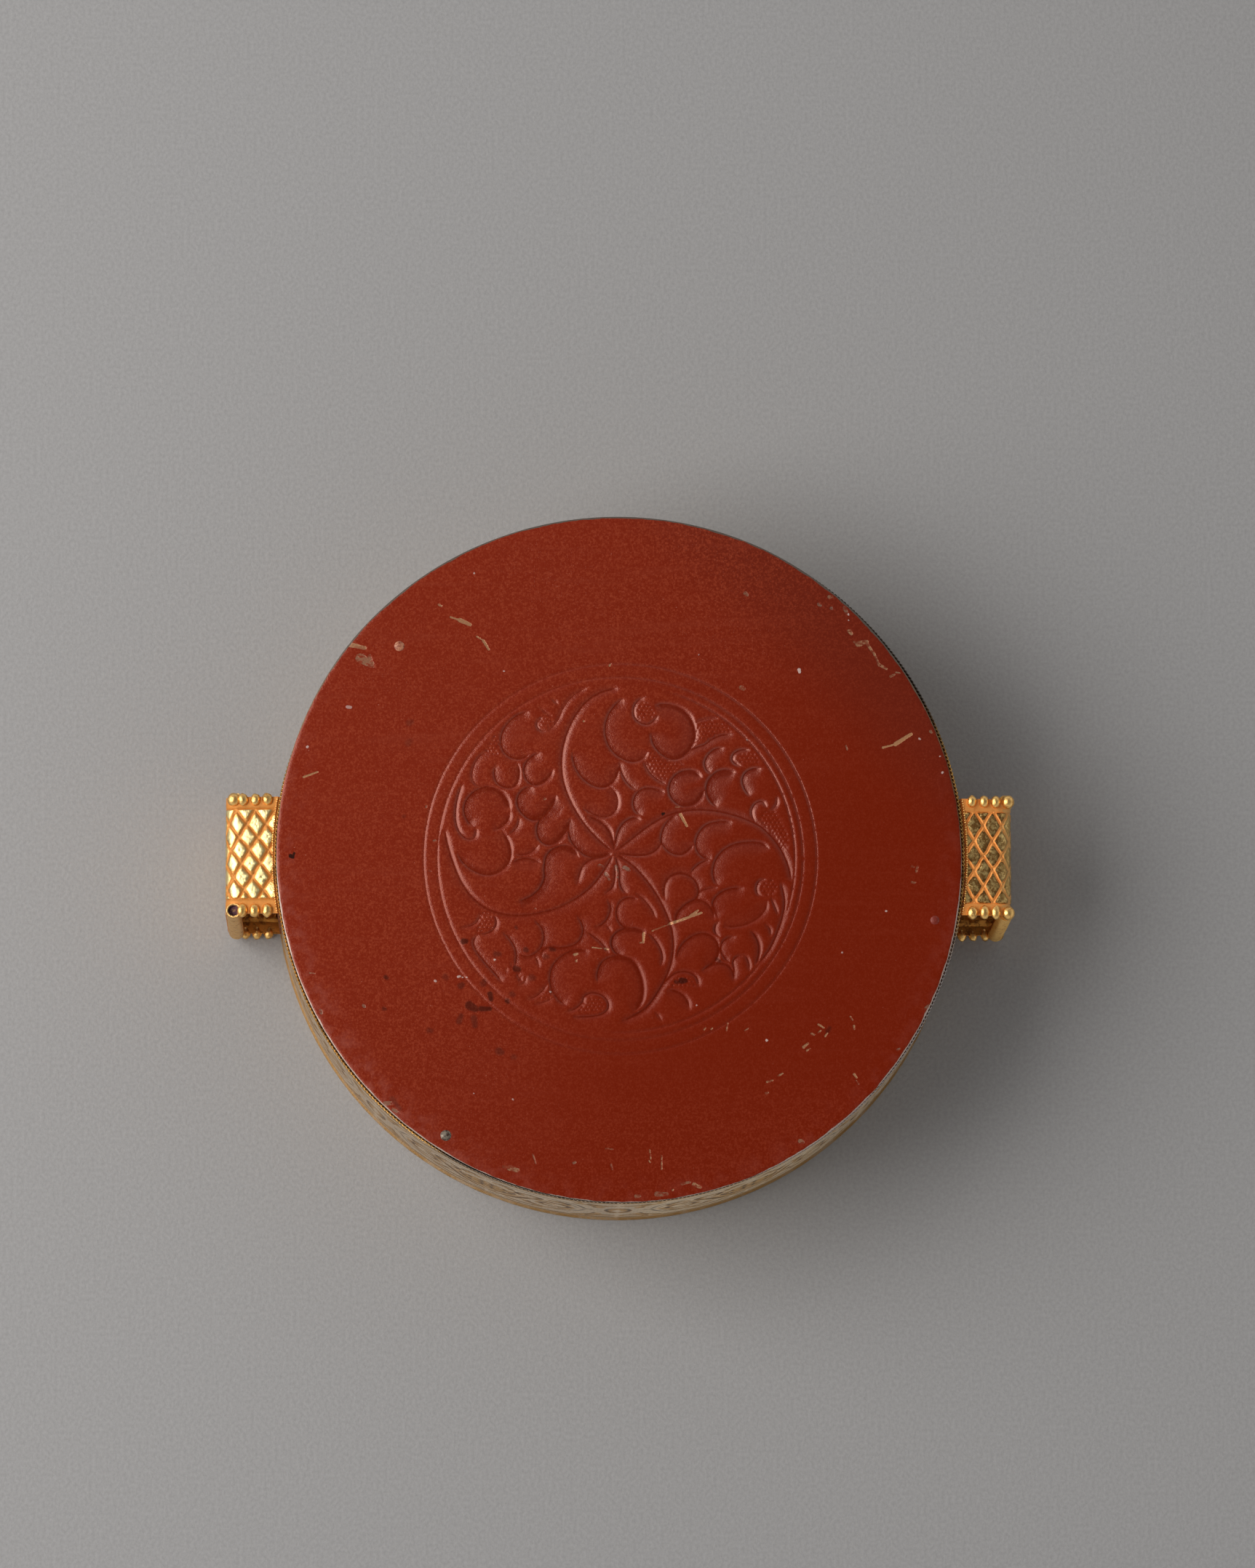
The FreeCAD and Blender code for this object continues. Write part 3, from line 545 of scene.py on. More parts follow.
     (-18.8, .2), (-18.8, 1.8), (-19.4, 3.5), (-20.5, 5)),
    (1.7, .4, 1.1, (-18.9, 8.3), (-19.4, 10.3), (-20.8, 11.9), (-22.9, 12.5), (-25, 11.8), (-26.5, 10.2),
     (-26.9, 8.3), (-26.3, 6.6), (-25.2, 5.4)),
    (1.3, .4, 1, (-22, 4.9), (-20.4, 5.5), (-19.2, 6.8), (-18.9, 8.3)),
    (.35, .35, 1, (-27.3, 13), (-28, 11), (-28.4, 8.8), (-28.4, 6.6), (-27.8, 4.7), (-26.6, 3.5),
     (-25.3, 3.5), (-24.8, 4.6), (-25, 5.4)),
    (.6, .4, .9, (-17.3, 7.6), (-17.5, 6), (-18.3, 4.8), (-19.4, 4)),
    (.8, .4, .9, (-18.6, 1), (-16.8, .6), (-15, 1.2), (-13.8, 2.6)),
    # lower right
    (.5, 1.1, 1, (9.6, -11), (10.5, -9.2), (12, -8), (13.5, -7), (14, -5.6), (13.5, -4), (12.2, -2.9),
     (10.4, -2.6), (8.8, -3.4), (8, -5.2), (8.1, -7.5)),
    (1.1, .4, 1, (16.7, -10.8), (16.4, -8.9), (15, -7.5), (13.2, -7.3), (11.5, -8.2), (10.3, -9.9),
     (9.8, -11.8)),
    (.4, .4, .9, (17.5, -5), (15.8, -5.2), (14.3, -5.7), (13.6, -6.6)),
    (.5, .35, 1, (16.2, -.1), (14.6, -.6), (13.3, -1.6), (12.3, -2.9)),
    (1.4, .4, 1, (22, -5.1), (19.8, -5.2), (17.8, -6), (16.5, -7.6), (16.9, -9.4), (17.5, -10.6)),
    (1.4, .4, .9, (18.2, -11.9), (20.4, -11.9), (22.6, -11.4), (24.5, -10.3), (25.7, -8.8), (26, -7.2)),
    (.35, .35, 1, (25.8, -3.5), (24.6, -3.9), (24.1, -5), (24.3, -6.1), (25.1, -6.5)),
    (.3, .3, .9, (26.6, -6.7), (27.3, -8.3), (28, -10)),
    (.5, .5, 1, (28.4, -4), (29, -7.3), (28.7, -9.8), (27.9, -12.4), (26.4, -15.8), (24.3, -18.5)),
    (.35, .35, 1, (26.5, -13.8), (26.5, -12.4), (25.6, -11.3)),
    (.5, .35, 1.2, (23.9, -18.8), (24.5, -17), (24.6, -15.2), (24, -13.6), (23, -12.5)),
    (.9, .35, 1, (20.5, -13.6), (19, -13.9), (18, -14.9), (17.9, -16.3), (18.7, -17.6), (19.7, -18.4)),
    (.5, .35, 1, (22, -17), (20.8, -17.1), (20, -18), (20.2, -19.6), (20.2, -21.4)),
    (.4, .35, 1, (22.8, -19.8), (22.8, -18.4), (22.3, -17.2), (21.4, -16.7)),
    (.35, .35, 1.1, (17.6, -10.9), (16.9, -11.8), (16.9, -12.9), (17.7, -13.8)),
    (1.5, .4, 1, (15.2, -19.2), (16.7, -18.2), (17.5, -16.5), (17.3, -14.7), (16.1, -13.4), (14.3, -13.1),
     (12.3, -14), (10.7, -15.7), (10, -17.8)),
    (.7, .35, 1.1, (20.1, -21.5), (20, -19.8), (19, -18.6), (17.4, -18.3), (15.8, -18.8), (14.4, -19.8)),
    (.35, .5, 1, (14, -22.6), (13.8, -21.2), (12.9, -20.2), (11.4, -19.8), (9.8, -20.2), (8.5, -21.3),
     (7.4, -22.7), (6.6, -24), (5.4, -25.7), (4, -27), (2.2, -27.8)),
    (1.1, .35, 1, (12.3, -26.6), (12.2, -25.2), (11.3, -23.9), (9.8, -23.1), (8.2, -23)),
    (.3, .3, .8, (7.5, -28.4), (7, -27.5), (6.3, -26.8)),
    (1.0, .35, 1.3, (4.9, -13), (3, -12.3), (.9, -12.4), (-.7, -13.4), (-1.2, -14.9), (-.6, -16.3),
     (.8, -17.2)),
    (.5, .4, 1, (-6, -12.6), (-4.3, -13.7), (-2.8, -15), (-1.6, -16.8)),
    (.4, .4, .9, (-2.7, -11.4), (-1.8, -12.1), (-1.1, -13.2)),
]

# Ground between the lobes that is sunk and dotted with a punch
mattedGround = [
    [(-23.4, 19.2), (-21.4, 22), (-20.8, 20), (-21.2, 18.3), (-22.6, 18.3)],
    [(-13.8, 24.8), (-14, 23.6), (-13.2, 22.8), (-12.2, 23), (-11.2, 24.2), (-12.2, 25.2)],
    [(4.2, 27.8), (3.2, 26.4), (3.3, 25), (4.4, 24.3), (5.6, 24.6), (6.4, 26), (5.6, 27.4)],
    [(13.3, 20.6), (13.8, 23.6), (16, 24.4), (18.6, 23.6), (19.8, 22.4), (17.4, 21.8), (15, 20.6)],
    [(23.6, 18.8), (21.4, 18.8), (20.4, 17.7), (21.5, 16.8), (23.5, 16.5), (24.8, 17)],
    [(5, 17.4), (5.9, 19), (7.4, 18.1), (9.3, 17.1), (10.9, 16.4), (9.5, 15.2), (8.5, 13.5), (6.6, 14.6),
     (5.4, 15.8)],
    [(24.6, 7.2), (25.6, 8.7), (27.6, 8.4), (29, 6), (29.8, 3), (29, 1.4), (27.6, 3.3), (25.8, 5.5)],
    [(-6, -25.2), (-5, -24.2), (-3, -24.4), (-2.2, -25.6), (-2.9, -26.9), (-5, -27.2), (-7, -26.8)],
    [(-23.8, -9.4), (-22.1, -9.7), (-21.7, -11.1), (-22, -12.2), (-23.2, -12.8), (-24.6, -12.8),
     (-24.2, -11.2)],
    [(9.2, -21.4), (11.4, -20.3), (13, -20.8), (13.5, -22.3), (11.5, -22.8), (9.4, -22.6)],
    [(-14.6, -25), (-13, -23.9), (-11.9, -22.6), (-11.2, -23.9), (-12.6, -24.8)],
    [(25.2, -4.2), (24.6, -5.2), (25.4, -6.2), (27, -6.2), (27.8, -4.6), (26.8, -3.6)],
    [(-18.3, -20.3), (-16.6, -19.6), (-16.4, -21.2), (-17.6, -22)],
]

# Bare spots in the paint: ends of the mark, half its width, and how grey the metal under it is
paintChips = [
    (-47, 37.6, -44.4, 37.0, .42, .15), (-45.2, 35.2, -43.4, 34.2, .85, .5),
    (-43.6, 35.6, -42.9, 33.7, .3, .5), (-31.5, 44.7, -31, 44.5, .2, .2), (-29.4, 42.5, -27.8, 42, .16, .1),
    (-27.8, 42, -26, 41.2, .38, .1), (-24.8, 39.1, -23.7, 38.4, .14, .1),
    (-23.7, 38.4, -22.7, 36.8, .24, .1), (-55, 14.2, -52.6, 15.1, .18, 0), (9, -11.4, 14.4, -9.5, .26, .1),
    (12.6, -10, 13.8, -9.1, .25, .1), (5.8, -12.7, 8.6, -11.6, .12, .2), (4.4, -13.1, 4.3, -14.7, .26, .1),
    (3.8, -14.8, 4.4, -14.7, .14, .2), (10.8, 7.8, 11.9, 5.8, .27, 0), (10, 9.1, 10.6, 9.1, .16, .2),
    (46.2, 19.7, 48.4, 20.3, .18, 0), (48.4, 20.3, 51.2, 22.1, .36, 0), (34.8, -29, 35.8, -29.6, .17, .2),
    (35.2, -30.1, 34.8, -30.4, .16, .3), (36, -31.1, 36.4, -30.5, .16, .2),
    (33.6, -30.6, 34.1, -30.8, .2, .3), (32.2, -33, 33, -32.3, .24, .2),
    (32.8, -33.6, 33.3, -33.2, .18, .3), (22, -30.1, 22.6, -29.7, .13, .4),
    (40.4, -27.6, 40.8, -28.2, .14, .4), (41, -29.2, 41.1, -29.8, .17, .3),
    (41, -37.7, 41.5, -38.3, .2, .1), (41.4, -38.8, 41.8, -39.4, .12, .5),
    (25.9, -39.1, 26.8, -38.8, .2, .3), (27.8, -38, 28.6, -37.6, .17, .3), (25.7, -41.1, 26, -41, .23, .5),
    (18.8, -30.1, 19, -28.8, .15, .3), (16.1, -29.9, 16.3, -29.7, .14, .3),
    (14.9, -30, 15.2, -29.6, .12, .3), (7.5, -52, 7.5, -54.4, .13, .3), (5.4, -51, 5.6, -52.6, .13, .3),
    (5.3, -52.9, 5.5, -53.2, .12, .3), (11, -56.9, 12.4, -56.6, .25, .6), (13.1, -57, 14.2, -57.5, .35, .3),
    (9.4, -58, 9.5, -57.9, .17, .2), (31.6, -49.4, 32.1, -49.6, .4, .6), (6.6, -58.7, 8.4, -58.7, .42, .7),
    (3.1, -59.1, 3.6, -59, .4, .6), (-18.9, -54.2, -17.6, -54.6, .5, .4), (-20, -54, -19.4, -54.1, .25, .5),
    (-14.9, -51.8, -14.4, -53.4, .13, .6), (-1.3, -53.6, -1.1, -54.4, .18, .7),
    (-2.2, -50.8, -1, -50.9, .14, .6), (-7.8, -53.3, -7.5, -53.2, .24, .8),
    (-40.6, -43, -39.6, -42.9, .42, .8), (-39.2, -44, -38.2, -44.7, .3, .8),
    (-57, -17.6, -56.8, -18, .3, .5), (-53.8, -20.2, -52.9, -20.3, .12, .5),
    (-51.9, -26.9, -51.7, -27.2, .35, .9), (-44.4, -25.9, -44.2, -26.1, .28, .9),
    (-7.7, -16.9, -7.2, -16.7, .26, .2), (-7.4, -18, -7.3, -17.8, .2, .3),
    (-1.9, -15.9, -2.4, -15.8, .22, .2), (-4.6, -15.6, -3, -15.8, .12, .2), (42, 38, 43.4, 38.4, .5, .3),
    (43.4, 38.2, 44.8, 36.2, .26, .3), (44.8, 36.2, 45.6, 34.4, .2, .4), (45.6, 34.4, 46.9, 33.6, .26, .3),
    (41.3, 38.4, 42, 37.8, .22, .4), (47.6, 32.3, 48.3, 32.6, .22, .4), (48.6, 33, 49.3, 32.9, .14, .5),
    (40.4, 40.3, 40.8, 39.8, .34, .3), (22.2, 46.9, 22.5, 46.6, .36, .7), (21.5, 30.2, 21.9, 30, .42, .5),
    (35.1, 45, 35.4, 44.8, .3, .9), (36.9, 46.3, 37.5, 46.4, .32, .6), (37.3, 44.3, 37.4, 44.2, .3, 1),
    (39.6, 44.4, 40, 43.5, .36, .8), (53.2, 28, 53.8, 26.6, .3, .6), (51.9, 30.2, 52.4, 29.2, .22, .7),
    (54.6, 22.6, 54.8, 22.4, .26, .7), (39.8, 20, 40, 19.3, .14, .7), (52.2, -1.3, 52, -2.2, .22, .5),
    (51.2, -1.2, 51.6, -1.3, .2, .4), (51.2, -4, 51.8, -4.1, .2, .5), (53.6, -26.2, 54.2, -25.6, .36, .8),
    (48.6, -33.4, 49, -33.2, .22, .9), (-.4, -1.3, -.2, -3.2, .3, 1), (-2.2, -2.7, -1.6, -3.6, .34, 1),
    (1, -1.6, 1.8, -2, .42, 1), (-3.4, -1.2, -2.8, -1.4, .3, 1), (-14.6, -8.8, -14.4, -8.9, .13, .6),
    (-33, -2.2, -32.8, -2.3, .2, .8), (-32.2, 3, -32, 3.1, .25, .8), (-33.6, 9, -33.5, 9.2, .18, .8),
    (-1.6, 34, -1.4, 34.3, .17, .3), (9.8, 13.4, 9.9, 13.4, .1, .4), (-6.1, 24.2, -6, 24.2, .2, .2),
    (-12.9, 10.5, -12.8, 10.5, .24, .5),
]

# Dark stains in the same terms, with how dark they are at the end
darkStains = [
    (-57.2, .3, -56.8, .1, .3, 1), (-56.6, .8, -56.7, .3, .12, 1), (-22.4, -23.8, -22.2, -24.8, .4, .55),
    (-26, -25.8, -25, -26.4, .7, .5), (-24, -26.4, -22.4, -26.4, .4, .55),
    (-25.2, -28, -25, -29.4, .5, .35), (-27.8, -28.6, -27.4, -27.6, .45, .35),
    (-27.5, -22.4, -27.2, -22.2, .5, .4), (-19.4, -25, -19.3, -25.2, .35, .5),
    (-18.6, -23.8, -18.3, -24, .4, .3), (-23.6, -22, -23.4, -21.6, .5, .3),
    (-27, -14.6, -26.6, -14.6, .5, .55), (-17.9, -19.4, -17.4, -19.5, .5, .5),
    (-16.2, -16, -16, -16.2, .4, .45), (-21.4, -16.8, -20.8, -16.8, .45, .35),
    (-11.8, -15.9, -11.2, -16, .3, .45), (-12.8, -17.2, -12.4, -17.3, .4, .3),
    (-15.2, -20.9, -14.8, -21, .5, .3), (-20.8, -33.8, -20.4, -34, .6, .35),
    (-18.3, -34.8, -18, -34.9, .4, .25), (-40.6, -20.9, -40.3, -21.1, .3, .5),
    (-40.9, -26.4, -40.6, -26.5, .25, .45), (-30.2, -20.8, -30, -21, .5, .25),
    (-33, -30.2, -32.6, -30.3, .4, .3), (7.7, 7.9, 7.9, 7.95, .2, .9), (11, -21.4, 11.6, -21.4, .5, .6),
    (10, -21.6, 10.4, -21.7, .3, .5), (17.2, -17.6, 17.6, -17.9, .3, .4),
    (36.4, -30.2, 36.8, -29.6, .3, .4), (-29.6, 52.6, -28.6, 53.4, .35, .5),
    (-36.8, 20.2, -36.4, 20.6, .5, .2), (-36.6, 23.8, -36.2, 24, .5, .25),
    (-39.4, -42.2, -38, -43.9, .35, .3), (-37.5, 7.3, -37.4, 7.4, .2, .3),
    (-17.9, -12.1, -17.8, -12.3, .2, .4),
]

# White flecks and pinkish burnished spots
whiteFlecks = [
    (31.6, 33.4, 31.7, 33, .3, 1), (25.8, -31.8, 25.9, -31.8, .22, 1), (-28, -20.8, -27.6, -20.7, .2, .8),
    (-27.2, -20.9, -27.1, -20.9, .13, .8), (-26.5, -20.9, -26.4, -20.9, .13, .8),
    (-32, -21.5, -31.8, -21.6, .2, .8), (-54.4, 19.5, -54.3, 19.6, .22, .9), (-20.1, 33, -20, 33, .14, .8),
    (-25.3, 50.3, -25.3, 50.3, .17, .8), (-47.4, 26.6, -46.8, 26.5, .3, .6),
    (46.7, -9.1, 46.8, -9.1, .18, .9), (39, -16.4, 39, -16.4, .17, .6), (14, 36, 14.1, 36.1, .1, .6),
    (22.4, 21, 22.5, 21, .12, .9), (-21.6, -17.8, -21.5, -17.8, .18, .9), (56.6, 15.3, 56.7, 15.4, .2, .9),
    (56.2, 18.2, 56.3, 18.2, .12, .9), (52.6, 21.3, 52.8, 21.2, .17, .8),
    (-11.9, -23.4, -11.8, -23.4, .16, .9), (-18.4, -42.2, -18.3, -42.3, .16, .7),
    (-25.2, -41.2, -25.2, -41.2, .12, .6), (40.3, 43.2, 40.3, 43.3, .16, .9),
    (40.3, 42.2, 40.3, 42.2, .14, .9), (13.6, -25.7, 13.7, -25.7, .15, .7),
]


def plateEdge(angles):
    radius = (plate["radius"] + plate["shift"][0] * np.cos(angles) + plate["shift"][1] * np.sin(angles)
              + plate["oval"][0] * np.cos(2 * angles) + plate["oval"][1] * np.sin(2 * angles))
    return np.minimum(radius, plate["rimMost"])


def marksAround(points, marks, reach):
    # distance of every point into the nearest mark, negative outside, and that mark's last number
    depth = np.full(len(points), -reach)
    tone = np.zeros(len(points))
    for x1, y1, x2, y2, half, last in marks:
        start, run = np.array([x1, y1]), np.array([x2 - x1, y2 - y1])
        box = (np.abs(points - (start + run / 2)) < np.abs(run) / 2 + half + reach).all(1)
        near = np.where(box)[0]
        offset = points[near] - start
        t = np.clip((offset @ run) / max(run @ run, 1e-9), 0, 1)
        inside = half * (1 - 0.25 * t) - np.linalg.norm(offset - t[:, None] * run, axis=1)
        better = inside > depth[near]
        depth[near[better]] = inside[better]
        tone[near[better]] = last
    return depth, tone


def marksPoints(marks):
    rows = []
    for x1, y1, x2, y2, half, last in marks:
        length = math.hypot(x2 - x1, y2 - y1)
        steps = max(2, int(length / 0.3) + 2)
        line = np.column_stack([np.linspace(x1, x2, steps), np.linspace(y1, y2, steps)])
        rows += [ringsRound(line, (0.5 * half, 1.05 * half + 0.02, 1.6 * half + 0.1), 8), line]
    return np.vstack(rows)


def punchDots(polygons, pitch):
    # places of the punch in each sunk ground, a little uneven as by hand
    dots = []
    rng = random.Random(5)
    for polygon in polygons:
        corners = np.array(polygon, float)
        grid = hexGrid(corners.min(0), corners.max(0), pitch)
        for x, y in grid[insidePolygon(grid, corners)]:
            dots.append((x + rng.uniform(-.08, .08), y + rng.uniform(-.08, .08)))
    return np.array(dots)


def makeBackPlate(material):
    middle = np.array(plate["ringMiddle"])
    step, rimPoints = plate["lineStep"], plate["rimPoints"]
    lines = []
    for index, (inner, outer, depth, *path) in enumerate(chasedLines):
        lines.append((smoothPath(path, step), inner, outer, depth, index))
    circles = []
    for radius, (first, last) in zip(plate["rings"], plate["ringSpans"]):
        steps = int(abs(last - first) * radius * math.pi / 180 / 0.42)
        circles.append(middle + radius * onCircle(np.radians(np.linspace(first, last, steps))))
    dots = punchDots(mattedGround, plate["punchPitch"])

    dotRings = np.vstack([dots, ringsRound(dots, (.13, .26), 9)])
    nearLines = np.vstack([besideLine(path, (0, .12, -.12, .3, -.3)) for path, *_ in lines])
    wideLines = np.vstack([besideLine(path, (.55, -.6, .95)) for path, *_ in lines])
    ringRows = np.vstack([besideLine(path, (0, .13, -.13, .32, -.32, .6, -.6)) for path in circles])
    marks = marksPoints(paintChips + darkStains + whiteFlecks)
    edgeAngles = np.linspace(0, 2 * math.pi, rimPoints, endpoint=False)
    rim = plateEdge(edgeAngles)
    turned = onCircle(edgeAngles)
    outline = turned * rim[:, None]
    rng = np.random.default_rng(3)
    edgeRows = np.vstack([turned * (rim - inset)[:, None] for inset in (.12, .32, .62, 1.1)])
    low, high = np.array([-60.5, -60.5]), np.array([60.5, 60.5])
    flat = hexGrid(low, high, plate["flatStep"])
    field = hexGrid(low * 0.58, high * 0.58, plate["fieldStep"])
    field = field[np.linalg.norm(field - middle, axis=1) < 34.2]
    points = thinOut([(edgeRows[:2 * rimPoints], .2), (dotRings, .1), (nearLines, .14), (ringRows, .2),
                      (marks, .13), (wideLines, .3), (edgeRows[2 * rimPoints:], .34),
                      (field, plate["fieldStep"]), (flat, plate["flatStep"])])
    inside = np.linalg.norm(points, axis=1) < plateEdge(np.arctan2(points[:, 1], points[:, 0])) - 0.06
    points = points[inside]
    points += rng.uniform(-.004, .004, points.shape)
    places, faces = joinPoints(outline, points)

    # heights
    fromRing = np.linalg.norm(places - middle, axis=1)
    base = plate["raise"] * (0.4 * np.clip((34.8 - fromRing) / .9, 0, 1)
                             + 0.6 * np.clip((32.3 - fromRing) / 1.1, 0, 1))
    power = np.zeros(len(places))
    for path, inner, outer, depth, index in lines:
        near, pull = linePull(places, path, inner, outer, depth, 1.6, 0.05, index)
        power[near] += pull ** 4
    for number, path in enumerate(circles):
        near, pull = linePull(places, path, .17, .17, (.7, .55, .55)[number], 6.0 if number == 2 else 0.01,
                              .12, number)
        power[near] += pull ** 4
    pulled = power ** 0.25
    height = base - (base + plate["cut"]) * np.minimum(pulled, 1.25)
    sunk = np.zeros(len(places))
    for polygon in mattedGround:
        sunk[insidePolygon(places, polygon)] = 1
    height -= plate["sunk"] * sunk
    toDot = toNearest(places, dots)
    height -= plate["punch"] * np.exp(-(toDot / plate["punchReach"]) ** 2)
    chipDepth, chipGrey = marksAround(places, paintChips, 1.5)
    wider = [(*ends, half + .08, tone) for *ends, half, tone in darkStains]
    stainDepth, stainDark = marksAround(places, wider, 1.5)
    fleckDepth, fleckWhite = marksAround(places, whiteFlecks, 1.5)
    height -= plate["chip"] * np.clip(chipDepth / .08 + .5, 0, 1)
    height += plate["fleck"] * np.clip(fleckDepth / .1 + .5, 0, 1)
    # the sheet isn't quite flat: slow waves, and a bump over each rivet
    height += plate["waviness"] * (noiseAt(places, .045, 4.2) + .35 * noiseAt(places, .16, 9.1))
    for x, y, rise in plate["rivetBumps"]:
        height += rise * np.exp(-((places[:, 0] - x) ** 2 + (places[:, 1] - y) ** 2) / 1.5 ** 2)
    toEdge = plateEdge(np.arctan2(places[:, 1], places[:, 0])) - np.linalg.norm(places, axis=1)
    height -= plate["edgeRound"] * np.exp(-np.maximum(toEdge, 0) / .28)
    height -= 0.05 * np.exp(-np.maximum(toEdge, 0) / .4) * noiseAt(places, .9, 1.7)
    count = len(places)
    top = np.column_stack([places[:, 0] + plate["middleX"], places[:, 1], plate["top"] + height])
    # side and underside: the outline's own points again, lower down
    find = placeFinder(places)
    rimIndex = [find(x, y) for x, y in outline]
    lower = np.column_stack([outline[:, 0] + plate["middleX"], outline[:, 1],
                             np.full(rimPoints, plate["under"] + .12)])
    lowest = np.column_stack([outline[:, 0] * .9985 + plate["middleX"], outline[:, 1] * .9985,
                              np.full(rimPoints, plate["under"])])
    vertices = np.vstack([top, lower, lowest, [[plate["middleX"], 0, plate["under"]]]])
    for k in range(rimPoints):
        nextOne = (k + 1) % rimPoints
        faces.append((rimIndex[k], count + k, count + nextOne, rimIndex[nextOne]))
        faces.append((count + k, count + rimPoints + k, count + rimPoints + nextOne, count + nextOne))
        faces.append((count + rimPoints + nextOne, count + rimPoints + k, count + 2 * rimPoints))
    piece = meshPiece("paintedBackPlate", vertices, faces, material)
    outside = len(vertices) - count
    for name, values, fill in (("groove", np.minimum(pulled, 1), 0), ("toEdge", toEdge, -.2),
                               ("chip", chipDepth, -1.5), ("chipGrey", chipGrey, .5),
                               ("stain", stainDepth, -1.5), ("stainDark", stainDark, 0),
                               ("fleck", fleckDepth, -1.5), ("fleckWhite", fleckWhite, 0)):
        addAttribute(piece, name, np.r_[values, np.full(outside, fill)])
    shadeSmooth(piece, 60)
    print("back plate:", len(piece.data.polygons), "faces")
    return finishPiece(piece, "back_cover", "red_paint", "back_plate")


def readAttribute(tree, name):
    return addNode(tree, "Attribute", attribute_name=name).outputs["Fac"]


